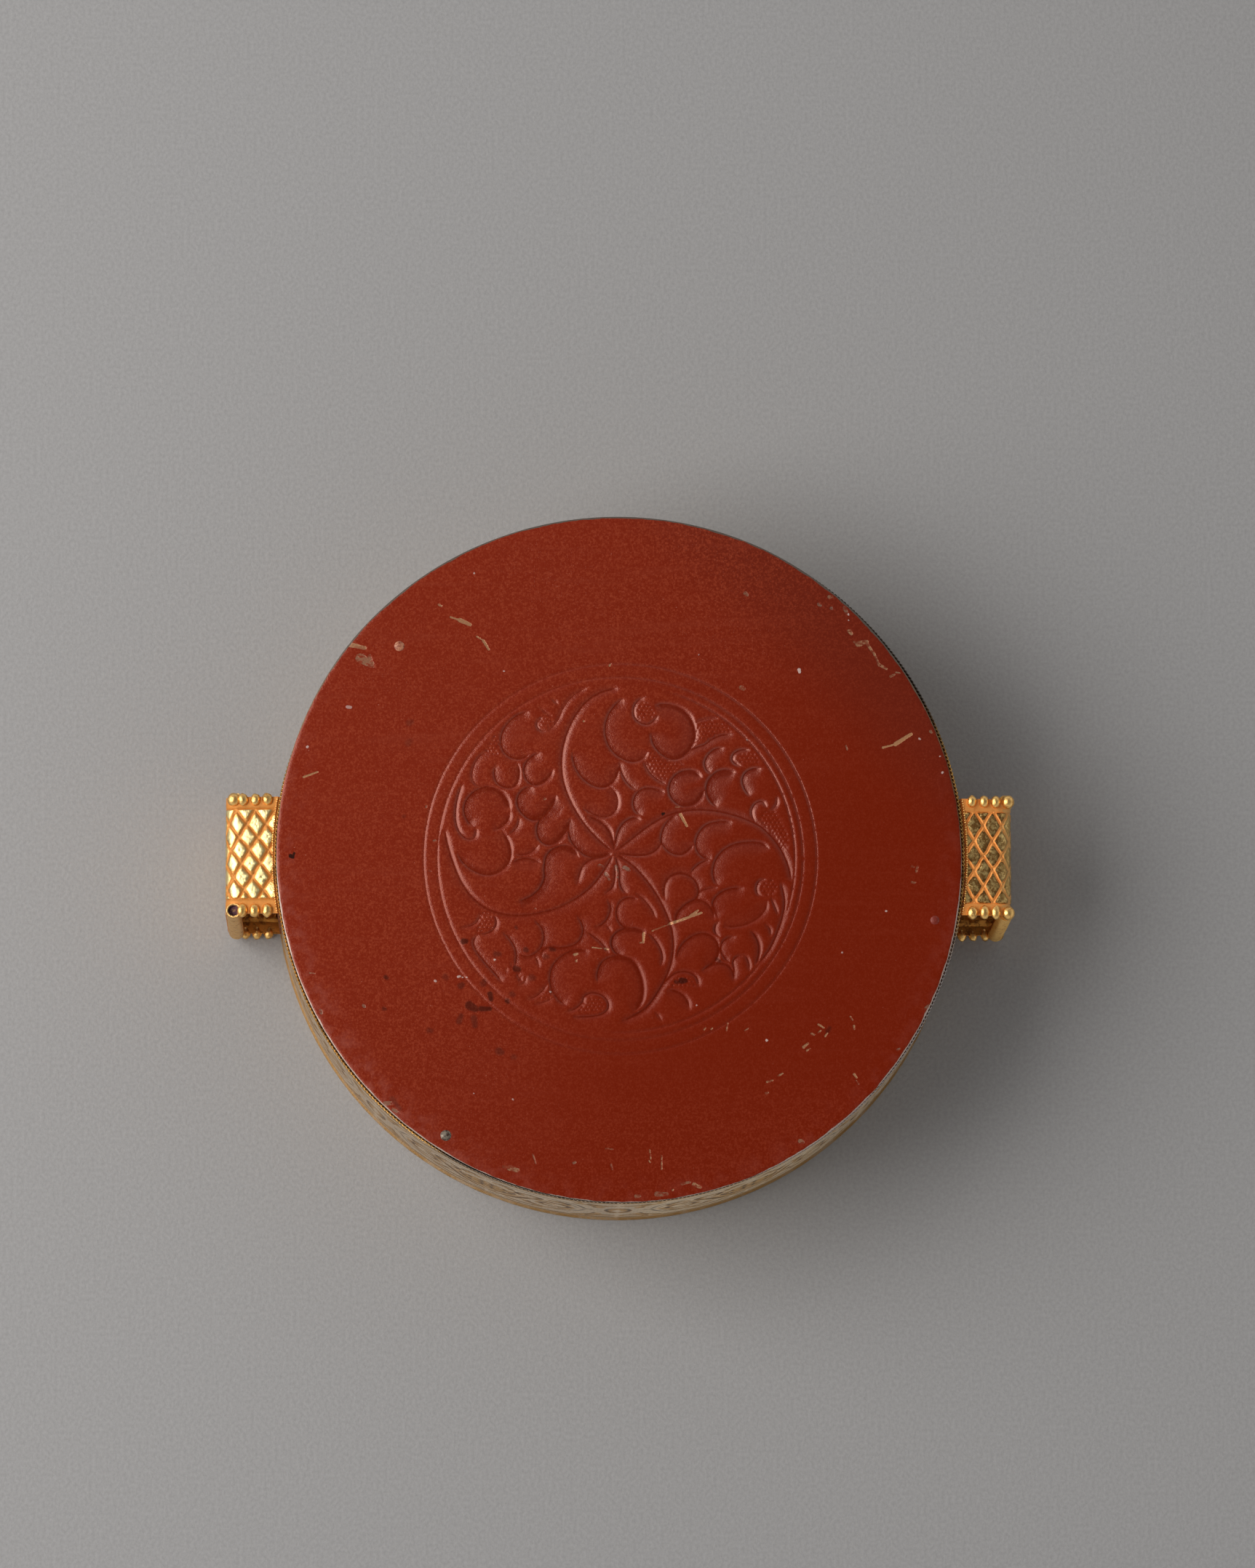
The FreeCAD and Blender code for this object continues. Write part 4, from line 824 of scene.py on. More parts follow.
def makeRedPaint():
    material, tree, shader = newMaterial("redPaintOnCopper", IOR=1.5, Specular_Tint=(1, .58, .48, 1))
    place = objectPlace(tree)
    clouds = patches(tree, place, 22.0)
    fine = patches(tree, place, 0.36, 3.0, 2.0)
    spot = objectAxes(tree)
    # mask towards the upper left: the red is painted lighter there, a painted light from the lamp's side,
    # and the same mask places the rubbed, glossier wear
    litSideAndWear = minus(tree, times(tree, spot[1], .6), spot[0])
    litSideAndWear = ramp(tree, plus(tree, litSideAndWear, times(tree, clouds, .02)), -.04, .07)
    paint = mixColour(tree, litSideAndWear, rgb(119, 29, 6), rgb(131, 37, 16))
    # painted sheen: the red is greyed towards the upper right, standing for the grey floor mirrored in the
    # paint
    corner = ramp(tree, plus(tree, spot[0], spot[1]), .055, .08, 0, .7)  # greyer at the upper right
    paint = mixColour(tree, corner, paint, rgb(104, 34, 20))
    coarser = larger(tree, litSideAndWear, ramp(tree, spot[1], -.03, -.048, 0, .32))
    grainy = times(tree, ramp(tree, fine, .42, .7), ramp(tree, coarser, 0, .8, .18, .86))
    paint = mixColour(tree, grainy, paint, rgb(153, 60, 35))
    dust = useGroup(tree, speckleGroup, place=place, size=0.36, dot=0.22, density=0.34)["mask"]
    dust = times(tree, dust, ramp(tree, clouds, .35, .7, .1, .5))
    bigger = useGroup(tree, speckleGroup, place=place, size=2.4, dot=0.045, density=0.4)["mask"]
    dust = larger(tree, dust, times(tree, .8, bigger))
    rubbedMore = ramp(tree, litSideAndWear, 0, .8, .45, 1.5)
    dust = times(tree, times(tree, dust, rubbedMore), .5)
    paint = mixColour(tree, dust, paint, rgb(180, 104, 84))
    brushed = patches(tree, objectPlace(tree, (.06, 1, 1)), 1.6, 3.0, 3.0)
    brushed = times(tree, ramp(tree, brushed, .5, .75, 0, .3), rubbedMore)
    paint = mixColour(tree, brushed, paint, rgb(140, 52, 32))
    # scuffed along the rim, most of all at the left and below
    toEdge = readAttribute(tree, "toEdge")
    scuffed = times(tree, ramp(tree, toEdge, 0, 6, 1, 0), ramp(tree, spot[1], .035, -.01, 0, 1))
    scuffed = times(tree, scuffed, ramp(tree, patches(tree, place, 2.2, 6.0, 11.0), .42, .68))
    scuffed = times(tree, scuffed, ramp(tree, litSideAndWear, .1, .7, .25, 1))
    paint = mixColour(tree, times(tree, scuffed, .5), paint, rgb(164, 88, 74))
    # the lines are coloured darker towards their bottom
    groove = readAttribute(tree, "groove")
    paint = mixColour(tree, times(tree, ramp(tree, groove, .6, 1), .5), paint, rgb(92, 18, 4))
    # ragged masks: the drawn marks with a broken edge
    ragged = times(tree, minus(tree, patches(tree, place, .3, 3.0, 5.0), .5), .5)

    def mark(name, soft=.04):
        edge = plus(tree, readAttribute(tree, name), times(tree, ragged, .5))
        inverse = times(tree, soft, -1.0)
        return ramp(tree, edge, inverse, soft)

    darkness = times(tree, readAttribute(tree, "stainDark"), 1.3, clamp=True)
    stain = times(tree, mark("stain", minus(tree, .5, times(tree, darkness, .42))), darkness)
    paint = mixColour(tree, stain, paint, rgb(46, 18, 12))
    tone = readAttribute(tree, "chipGrey")
    bare = mixColour(tree, tone, rgb(196, 142, 100), rgb(140, 122, 104))
    # the greyer marks are only rubbed thin
    chip = times(tree, mark("chip"), ramp(tree, tone, .12, .6, .95, .55))
    broken = patches(tree, objectPlace(tree, (.6, 1, 1)), .7, 5.0, 12.0)
    broken = times(tree, ramp(tree, broken, .44, .58, .85, 0), ramp(tree, tone, .04, .25))
    chip = times(tree, chip, minus(tree, 1.0, broken))
    # the rim: paint rubbed off to metal along the edge, unevenly
    wearNoise = patches(tree, place, 3.5, 6.0, 7.0)
    edgeLine = plus(tree, times(tree, toEdge, -2.2), times(tree, wearNoise, 1.5))
    # widest along the top, and bright at the lower sides
    edgeLine = plus(tree, edgeLine, ramp(tree, spot[1], .012, .04, -.1, .36))
    flank = ramp(tree, mathNode(tree, "ABSOLUTE", spot[0]), .022, .036, 0, .26)
    flank = times(tree, flank, ramp(tree, spot[1], .002, -.01))
    edgeLine = plus(tree, edgeLine, flank)
    rubbed = ramp(tree, edgeLine, .47, .58)
    chip = larger(tree, chip, rubbed)
    # rim colour where the paint is rubbed off: pale along the lower half, partly a painted highlight on the
    # lit rounded edge, grey-brown bare metal above
    rimTone = mixColour(tree, ramp(tree, spot[1], -.004, .008), rgb(184, 162, 150), rgb(128, 104, 78))
    rimTone = mixColour(tree, ramp(tree, spot[1], .02, .04), rimTone, rgb(102, 92, 84))
    bare = mixColour(tree, times(tree, rubbed, ramp(tree, wearNoise, .28, .4)), bare, rimTone)
    paint = mixColour(tree, chip, paint, bare)
    fleck = times(tree, mark("fleck", .05), times(tree, readAttribute(tree, "fleckWhite"), .6))
    paint = mixColour(tree, fleck, paint, rgb(232, 212, 202))
    feed(tree, shader["Base Color"], paint)
    rough = plus(tree, times(tree, fine, .16), .13)
    rough = plus(tree, rough, times(tree, clouds, .08))
    rough = plus(tree, rough, ramp(tree, litSideAndWear, .25, .9, .02, -.05))  # glossier towards the upper left
    matt = times(tree, larger(tree, stain, rubbed), .22)
    feed(tree, shader["Roughness"], plus(tree, rough, matt, clamp=True))
    slope = times(tree, ramp(tree, groove, .12, .5), ramp(tree, litSideAndWear, .2, .9, 1, .2))
    slope = times(tree, slope, ramp(tree, spot[1], -.012, .014, .2, 1))
    bottom = ramp(tree, groove, .72, .95)  # the bottom of a line is given less gloss
    gloss = plus(tree, ramp(tree, litSideAndWear, .1, .9, .3, .62), slope)  # the relief is rubbed smooth
    gloss = times(tree, gloss, ramp(tree, larger(tree, stain, rubbed), .2, .8, 1, .25))
    gloss = times(tree, gloss, ramp(tree, bottom, 0, 1, 1, .35))
    feed(tree, shader["Specular IOR Level"], gloss)
    feed(tree, shader["Metallic"], times(tree, chip, .35))
    grain = patches(tree, place, .28, 2.0, 9.0)
    height = plus(tree, times(tree, grain, .7), times(tree, chip, -.8))
    bump(tree, shader, height, .00007, .8)
    return material


redPaint = makeRedPaint()
makeBackPlate(redPaint)
print("back plate done")


# Twisted wire round the back edge

wire = {"middle": 59.98, "height": 33.5, "strand": 0.155, "turns": 268, "steps": 2144, "sides": 6,
        "sprung": 0.28}  # how far it stands off the wall at the left loop


def makeEdgeWire(material):
    vertices, faces = [], []
    steps, sides = wire["steps"], wire["sides"]
    around = np.linspace(0, 2 * math.pi, steps, endpoint=False)
    section = np.linspace(0, 2 * math.pi, sides, endpoint=False)
    for strand in range(2):
        twist = around * wire["turns"] + strand * math.pi
        sprung = wire["sprung"] * np.exp(-((np.degrees(around) - 174) / 13) ** 2)
        middleR = wire["middle"] + sprung + wire["strand"] * np.cos(twist)
        middleZ = wire["height"] + wire["strand"] * np.sin(twist)
        radial = middleR[:, None] + wire["strand"] * np.cos(section)[None]
        height = middleZ[:, None] + wire["strand"] * np.sin(section)[None]
        block = np.stack([radial * np.cos(around)[:, None], radial * np.sin(around)[:, None],
                          height], axis=2)
        start = len(vertices)
        vertices.extend(block.reshape(-1, 3))
        for i in range(steps):
            j = (i + 1) % steps
            for k in range(sides):
                m = (k + 1) % sides
                faces.append((start + i * sides + k, start + j * sides + k, start + j * sides + m,
                              start + i * sides + m))
    piece = meshPiece("twistedEdgeWire", vertices, faces, material, 60)
    return finishPiece(piece, "case", "gilt_wire", "back_edge_wire")


# Side wall with eight chased cartouches

wall = {
    "radius": 60.2, "inner": 59.4, "low": 0.8, "high": 33.15, "middle": 17.0,
    "units": 8, "firstTurn": 22.5, "lineStep": 0.36, "fieldStep": 0.92,
    "cut": 0.16, "raise": 0.09, "most": 60.48,      # the hammering never goes past this radius
    "punch": 0.1, "hammered": 0.05, "dent": 0.22, "dentTurn": 234.6,
    "edgeSteps": 80, "sideSteps": 56, "borderDots": 48,
}

# Lines of half a cartouche, in millimetres from its middle: width inside, outside, depth, whether
# its lobe is gilded, points. The other half mirrors it.
cartoucheFrame = [
    (0, 12.5), (2.6, 11.3), (6, 11), (10, 10.6), (13.4, 9.2), (15.8, 6.8), (17, 4), (17.7, 1.6), (19.1, 0),
    (17.7, -1.6), (17, -4), (15.8, -6.8), (13.4, -9.2), (10, -10.6), (6, -11), (2.6, -11.3), (0, -12.5),
]
cartoucheLines = [
    (.7, .35, 1, 1, (0, -8.4), (2.6, -7.8), (5.2, -5.4), (6.8, -2), (8.4, 1.2), (11.2, 2.7), (13.8, 1.7),
     (14.9, -.9), (13.4, -3), (11.1, -3), (10, -1.3), (10.9, 0), (12.2, -.5)),
    (.9, .35, 1, 1, (8.9, 3.5), (10, 5), (9.8, 6.9), (8, 7.9), (6, 7), (5.2, 4.9), (6.2, 2.6)),
    (.7, .35, .9, 1, (14.6, 3), (15, 4.8), (14, 6.7), (12.2, 7.5), (10.7, 6.9)),
    (.9, .35, .9, 1, (14.4, -4.6), (12.8, -6.4), (10.4, -6.9), (8.4, -5.6), (7.7, -3.4)),
    (.6, .35, .9, 1, (10.4, -8.2), (8, -9.2), (5.4, -9.1), (3.6, -8)),
    (.6, .35, .9, 1, (3.6, 6.2), (4.8, 7.6), (4.2, 9.3), (2.2, 9.7), (.6, 8.7)),
    (.5, .35, .8, 1, (1.2, -5.6), (2.6, -4.4), (4.6, -1.6), (5.2, 1.2), (4.6, 3.4)),
    (.35, .35, .7, 1, (12.3, 1.2), (11.6, .4)),
    (.6, .4, .9, 1, (23.64, 4.6), (22.1, 3.1), (21.5, 0), (22.1, -3.1), (23.64, -4.6)),
    (.6, .4, .9, 1, (18.2, 12.4), (18.6, 10.4), (20.8, 8.9), (23.64, 9.8)),
    (.6, .4, .9, 1, (23.64, -9.8), (20.8, -8.9), (18.6, -10.4), (18.2, -12.4)),
    (.4, .4, .8, 1, (15.4, 12.4), (16.6, 10.6), (18, 9.4), (19.2, 7.2), (19.6, 4.6)),
    (.4, .4, .8, 1, (19.6, -4.6), (19.2, -7.2), (18, -9.4), (16.6, -10.6), (15.4, -12.4)),
]


def flowerLines(count, near, far):
    # petals round the cartouche's middle
    lines = []
    for number in range(count):
        turn = 2 * math.pi * number / count
        path = []
        for radius, offset in ((near, -16), (far * .78, -17), (far, 0), (far * .78, 17), (near, 16)):
            angle = turn + math.radians(offset)
            path.append((radius * math.cos(angle), radius * math.sin(angle)))
        lines.append((.5, .3, .9, 1, *path[::-1]))
    return lines


def makeWall(material):
    half = math.pi * wall["radius"] / wall["units"]
    step, fieldStep = wall["lineStep"], wall["fieldStep"]
    edgeSteps, sideSteps, beads = wall["edgeSteps"], wall["sideSteps"], wall["borderDots"]
    bottom, top = wall["low"] - wall["middle"], wall["high"] - wall["middle"]
    lines = []
    for inner, outer, depth, gilt, *path in cartoucheLines:
        # the mirrored half keeps its lobes on the same side of the line
        for course in (path, [(-x, y) for x, y in path[::-1]]):
            lines.append((smoothPath(course, step), inner, outer, depth, gilt))
    for inner, outer, depth, gilt, *path in flowerLines(8, 1.6, 4.4):
        lines.append((smoothPath(path, step), inner, outer, depth, gilt))
    for scale, depth in ((1, 1), (.93, .7)):
        frameHalf = [(x * scale, y * scale) for x, y in cartoucheFrame]
        lines.append((smoothPath(frameHalf, step), .3, .3, depth, 0))
        lines.append((smoothPath([(-x, y) for x, y in frameHalf], step), .3, .3, depth, 0))
    turn = np.linspace(0, 2 * math.pi, 17)
    lines.append((1.45 * onCircle(turn), .5, .3, 1, 1))
    borders = []
    for y in (bottom + 1.1, bottom + 2.6, top - 2.9, top - 1.2):
        count = int(2 * half / .7)
        borders.append(np.column_stack([np.linspace(-half, half, count + 1), np.full(count + 1, y)]))
    dotX = np.linspace(-half, half, beads, endpoint=False) + half / beads
    dots = np.vstack([np.column_stack([dotX, np.full(beads, y)]) for y in (bottom + 1.85, top - 2.05)])
    low, high = np.array([-half, bottom]), np.array([half, top])
    grid = hexGrid(low, high, 1.15)
    away = np.full(len(grid), 9.0)
    for path, *_ in lines:
        away = np.minimum(away, np.linalg.norm(grid[:, None] - path[None, ::2], axis=2).min(1))
    ground = grid[(away > .75) & (np.abs(grid[:, 1]) < 12.6) & (np.abs(grid[:, 0]) < half - .6)]
    dots = np.vstack([dots, ground])

    edgeX = np.linspace(-half, half, edgeSteps + 1)
    sideY = np.linspace(bottom, top, sideSteps + 1)
    outline = np.vstack([np.column_stack([edgeX[:-1], np.full(edgeSteps, bottom)]),
                         np.column_stack([np.full(sideSteps, half), sideY[:-1]]),
                         np.column_stack([edgeX[:0:-1], np.full(edgeSteps, top)]),
                         np.column_stack([np.full(sideSteps, -half), sideY[:0:-1]])])
    nearLines = np.vstack([besideLine(path, (0, .16, -.16)) for path, *_ in lines])
    wideLines = np.vstack([besideLine(path, (.42, -.42, .8)) for path, *_ in lines])
    borderRows = np.vstack([besideLine(path[1:-1], (0, .18, -.18)) for path in borders])
    points = thinOut([(dots, .2), (ringsRound(dots, (.22,), 6), .12), (nearLines, .17), (borderRows, .2),
                      (wideLines, .4), (hexGrid(low, high, fieldStep), fieldStep)])
    x, y = points.T
    inside = (np.abs(x) < half - .12) & (y > bottom + .12) & (y < top - .12)
    places, faces = joinPoints(outline, points[inside])

    power = np.zeros(len(places))
    gilt = np.zeros(len(places))
    for index, (path, inner, outer, depth, gold) in enumerate(lines):
        near, pull = linePull(places, path, inner, outer, depth, .8, .05, index)
        power[near] += pull ** 4
        if gold:
            wide, spread = linePull(places, path, 1.5, .5, 1, .1)
            gilt[wide] = np.maximum(gilt[wide], spread)
    for path in borders:
        near, pull = linePull(places, path, .25, .25, .9, .001)
        power[near] += pull ** 4
    pulled = np.minimum(power ** .25, 1.2)
    height = wall["raise"] * np.clip(gilt * 1.6, 0, 1) * (1 - pulled) - wall["cut"] * pulled
    toDot = toNearest(places, dots)
    height -= wall["punch"] * np.exp(-(toDot / .2) ** 2)
    height -= .12 * np.exp(-(top - places[:, 1]) / .2) + .12 * np.exp(-(places[:, 1] - bottom) / .2)
    groove = np.maximum(np.minimum(pulled, 1), np.exp(-(toDot / .22) ** 2))
    gold = np.maximum(gilt, np.clip((np.abs(places[:, 1] - top + 2.05) < .8) * .7, 0, 1))
    gold = np.maximum(gold, (np.abs(places[:, 1] - bottom - 1.85) < .8) * .7)

    # one unit after another round the wall, then the plain inside
    count = len(places)
    find = placeFinder(places)
    vertices, every, grooves, gilts = [], [], [], []
    for unit in range(wall["units"]):
        turned = math.radians(wall["firstTurn"] + 360 / wall["units"] * unit)
        angle = turned + places[:, 0] / wall["radius"]
        rise = places[:, 1] + wall["middle"]
        # hammered by hand, and knocked out a little at the lower left
        uneven = np.array([noise.noise(Vector((math.cos(a) * 5, math.sin(a) * 5, z * .11)))
                           for a, z in zip(angle, rise)])
        knocked = np.exp(-((np.degrees(angle) % 360 - wall["dentTurn"]) / 2.6) ** 2)
        dent = wall["dent"] * knocked * np.clip((rise - 18) / 14, 0, 1)
        radius = np.minimum(wall["radius"] + height + wall["hammered"] * uneven + dent, wall["most"])
        start = len(vertices)
        vertices.extend(np.column_stack([radius * np.cos(angle), radius * np.sin(angle), rise]))
        every.extend(tuple(start + i for i in face) for face in faces)
        grooves.append(groove)
        gilts.append(gold)
        rimStart = len(vertices)
        for x in edgeX:
            a = turned + x / wall["radius"]
            for z in (wall["low"], wall["high"]):
                vertices.append((wall["inner"] * math.cos(a), wall["inner"] * math.sin(a), z))
        for k in range(edgeSteps):
            a, b = rimStart + 2 * k, rimStart + 2 * k + 2
            every.append((a, b, b + 1, a + 1)[::-1])
            every.append((start + find(edgeX[k], bottom), a, b, start + find(edgeX[k + 1], bottom))[::-1])
            every.append((start + find(edgeX[k + 1], top), b + 1, a + 1, start + find(edgeX[k], top))[::-1])
        grooves.append(np.zeros(2 * edgeSteps + 2))
        gilts.append(np.zeros(2 * edgeSteps + 2))
    piece = meshPiece("chasedSideWall", vertices, every, material)
    addAttribute(piece, "groove", np.concatenate(grooves))
    addAttribute(piece, "gilt", np.concatenate(gilts))
    selectOnly(piece)
    bpy.ops.object.mode_set(mode="EDIT")
    bpy.ops.mesh.select_all(action="SELECT")
    bpy.ops.mesh.remove_doubles(threshold=1e-6)
    bpy.ops.object.mode_set(mode="OBJECT")
    outwardNormals(piece)
    shadeSmooth(piece, 50)
    print("side wall:", len(piece.data.polygons), "faces")
    return finishPiece(piece, "case", "silver_wall", "side_wall")


# Strap loops

loop = {
    "reach": 68.5, "halfWidth": 10.25, "low": 0.9, "high": 33.5, "sheet": 0.7, "bend": 2.2,
    "base": 60.62, "wall": 60.2,
    "grooveHalf": 0.33, "grooveDepth": 0.26,
    "beadPitch": 2.04, "beadMiddle": 9.75, "beadRise": 0.16,
    "columnRadius": 1.3, "ribPitch": 0.37,
    "hammered": 0.05, "cornerDot": 0.06, "swell": 0.06,
    "endPoints": 49, "sidePoints": 150, "grains": 48,
    "taper": 0.11,      # both legs lean towards each other as they run out
    # the two loops differ as handwork does; the left one is the right one turned half round
    "right": {"stretch": 1.0, "shift": 0.6, "long": 3.25, "wide": 5.3, "skew": 0.0, "centre": (18.66, .28),
              "lattice": (-8.05, 7.85), "rib": .055, "corner": 67.9},
    "left": {"stretch": 1.045, "shift": 0.62, "long": 3.2, "wide": 4.65, "skew": -0.1,
             "centre": (17.72, -.87), "lattice": (-8.1, 7.6), "rib": .02, "corner": 67.15},
}


def bandPlace(s, y, rise=0.0):
    # a place on the band's outer face: s runs up the web from its middle and on over the bends
    half = (loop["high"] - loop["low"]) / 2 - loop["bend"]
    arc = loop["bend"] * math.pi / 2
    middle = (loop["high"] + loop["low"]) / 2
    s, y, rise = np.broadcast_arrays(np.asarray(s, float), np.asarray(y, float), np.asarray(rise, float))
    up = np.sign(s)
    turn = np.clip((np.abs(s) - half) / loop["bend"], 0, math.pi / 2)
    past = np.maximum(np.abs(s) - half - arc, 0)
    x = loop["reach"] - loop["bend"] * (1 - np.cos(turn)) - past
    z = middle + up * (np.minimum(np.abs(s), half) + loop["bend"] * np.sin(turn))
    x, z = x + rise * np.cos(turn), z + rise * up * np.sin(turn)
    return np.stack([x, y, leanIn(x, z)], axis=-1)


def leanIn(x, z):
    middle = (loop["high"] + loop["low"]) / 2
    return middle + (z - middle) * (1 - loop["taper"] * (x - loop["wall"]) / (loop["high"] - middle))


def bandEnd(y):
    # how far the band runs before it meets its curved base
    half = (loop["high"] - loop["low"]) / 2 - loop["bend"]
    run = loop["reach"] - loop["bend"] - np.sqrt(loop["base"] ** 2 - np.asarray(y) ** 2)
    return half + loop["bend"] * math.pi / 2 + run


def turnSide(points, word):
    points = np.array(points, float)
    own = loop[word]
    stretch = np.where(points[:, 0] > 60.9, own["stretch"], 1)
    points[:, 0] = loop["wall"] + (points[:, 0] - loop["wall"]) * stretch
    return points * ([1, 1, 1] if word == "right" else [-1, -1, 1]) + [0, own["shift"], 0]


def makeBand(word, material, inside):
    own = loop[word]
    hw, low, high = loop["halfWidth"], *own["lattice"]
    long, wide, skew = own["long"], own["wide"], own["skew"]
    s0, y0 = own["centre"]
    slope = math.sqrt(1 / long ** 2 + 1 / wide ** 2)
    across = np.linspace(-hw, hw, loop["endPoints"])
    along = np.linspace(-bandEnd(hw), bandEnd(hw), loop["sidePoints"])
    outline = np.vstack([np.column_stack([bandEnd(across), across]),
                         np.column_stack([along[::-1][1:-1], np.full(len(along) - 2, hw)]),
                         np.column_stack([-bandEnd(across[::-1]), across[::-1]]),
                         np.column_stack([along[1:-1], np.full(len(along) - 2, -hw)])])
    reach = float(bandEnd(hw)) + 2
    rows, corners = [], []
    cells = range(-24, 25)
    y = np.arange(low, high + .01, .3)
    for number in cells:
        for lean in (1, -1):
            s = s0 + long * (number + .5 - lean * (y - y0) / wide) - skew * (y - y0)
            line = np.column_stack([s, y])[np.abs(s) < reach]
            if len(line) > 2:
                rows.append(besideLine(line, (0, .15, -.15, .32, -.32)))
    straight = np.arange(-reach, reach, .35)
    for edge in (low - .1, high + .1):
        rows.append(besideLine(np.column_stack([straight, np.full(len(straight), edge)]),
                               (0, .15, -.15, .3, -.3)))
    for a in cells:
        for b in cells:
            y1 = y0 + (a - b) * wide / 2
            s1 = s0 + (a + b) * long / 2 - skew * (y1 - y0)
            if low + 1 < y1 < high - 1 and abs(s1) < reach - 1:
                corners.append((s1, y1))
    corners = np.array(corners)
    dots = np.vstack([corners, ringsRound(corners, (.14, .3), 7)])
    field = hexGrid(np.array([-reach, -hw]), np.array([reach, hw]), .5)
    points = thinOut([(dots, .1), (np.vstack(rows), .17), (field, .45)])
    ends = bandEnd(points[:, 1])
    points = points[(np.abs(points[:, 0]) < ends - .1) & (np.abs(points[:, 1]) < hw - .1)]
    places, faces = joinPoints(outline, points)
    s, y = places[:, 0], places[:, 1]
    seed = 1 if word == "right" else -1
    wobble = noiseAt(places, .5, 3.3 + seed) * .07
    along = (s - s0 + skew * (y - y0)) / long
    first, second = along + (y - y0) / wide + wobble, along - (y - y0) / wide - wobble
    lines = [np.abs(value - np.floor(value) - .5) / slope for value in (first, second)]
    toLine = np.minimum(lines[0], lines[1])
    inLattice = np.clip((y - low) / .1, 0, 1) * np.clip((high - y) / .1, 0, 1)
    border = np.minimum(np.abs(y - low + .1), np.abs(y - high - .1))
    groove = np.maximum(inLattice * np.clip(1 - toLine / loop["grooveHalf"], 0, 1),
                        np.clip(1 - border / .26, 0, 1) * .8)
    toDot = toNearest(places, corners)
    hammered = noiseAt(places, 1.2, 7.7 * seed) + .5 * noiseAt(places, 3, 1.7 * seed)
    height = (-loop["grooveDepth"] * groove + loop["hammered"] * hammered
              - loop["cornerDot"] * np.exp(-(toDot / .15) ** 2))
    height += loop["swell"] * inLattice * np.clip(toLine / 1.2, 0, 1)
    vertices = turnSide(bandPlace(s, y, height), word)
    piece = meshPiece(word + "LoopBand", vertices, [face[::-1] for face in faces], material)
    addAttribute(piece, "groove", groove)
    addAttribute(piece, "diamond", inLattice * np.clip((toLine - .2) / .6, 0, 1))
    piece.data.materials.append(inside)
    applyModifier(piece, "SOLIDIFY", thickness=loop["sheet"] * mm, offset=-1, material_offset=1,
                  use_rim=True)
    shadeSmooth(piece, 40)
    print(word + " loop band:", len(piece.data.polygons), "faces")
    return piece


def beadTemplate(segments=12, rings=8):
    # one grain, as a unit ball whose rows lie along Y
    deselectAll()
    bpy.ops.mesh.primitive_uv_sphere_add(segments=segments, ring_count=rings, radius=1, location=(0, 0, 0))
    grain = bpy.context.object
    bpy.ops.object.mode_set(mode="EDIT")
    bpy.ops.mesh.select_all(action="SELECT")
    bpy.ops.transform.rotate(value=math.pi / 2, orient_axis="X", center_override=(0, 0, 0))
    bpy.ops.object.mode_set(mode="OBJECT")
    vertices = np.array([v.co for v in grain.data.vertices])
    faces = [tuple(p.vertices) for p in grain.data.polygons]
    bpy.data.objects.remove(grain)
    return vertices, faces


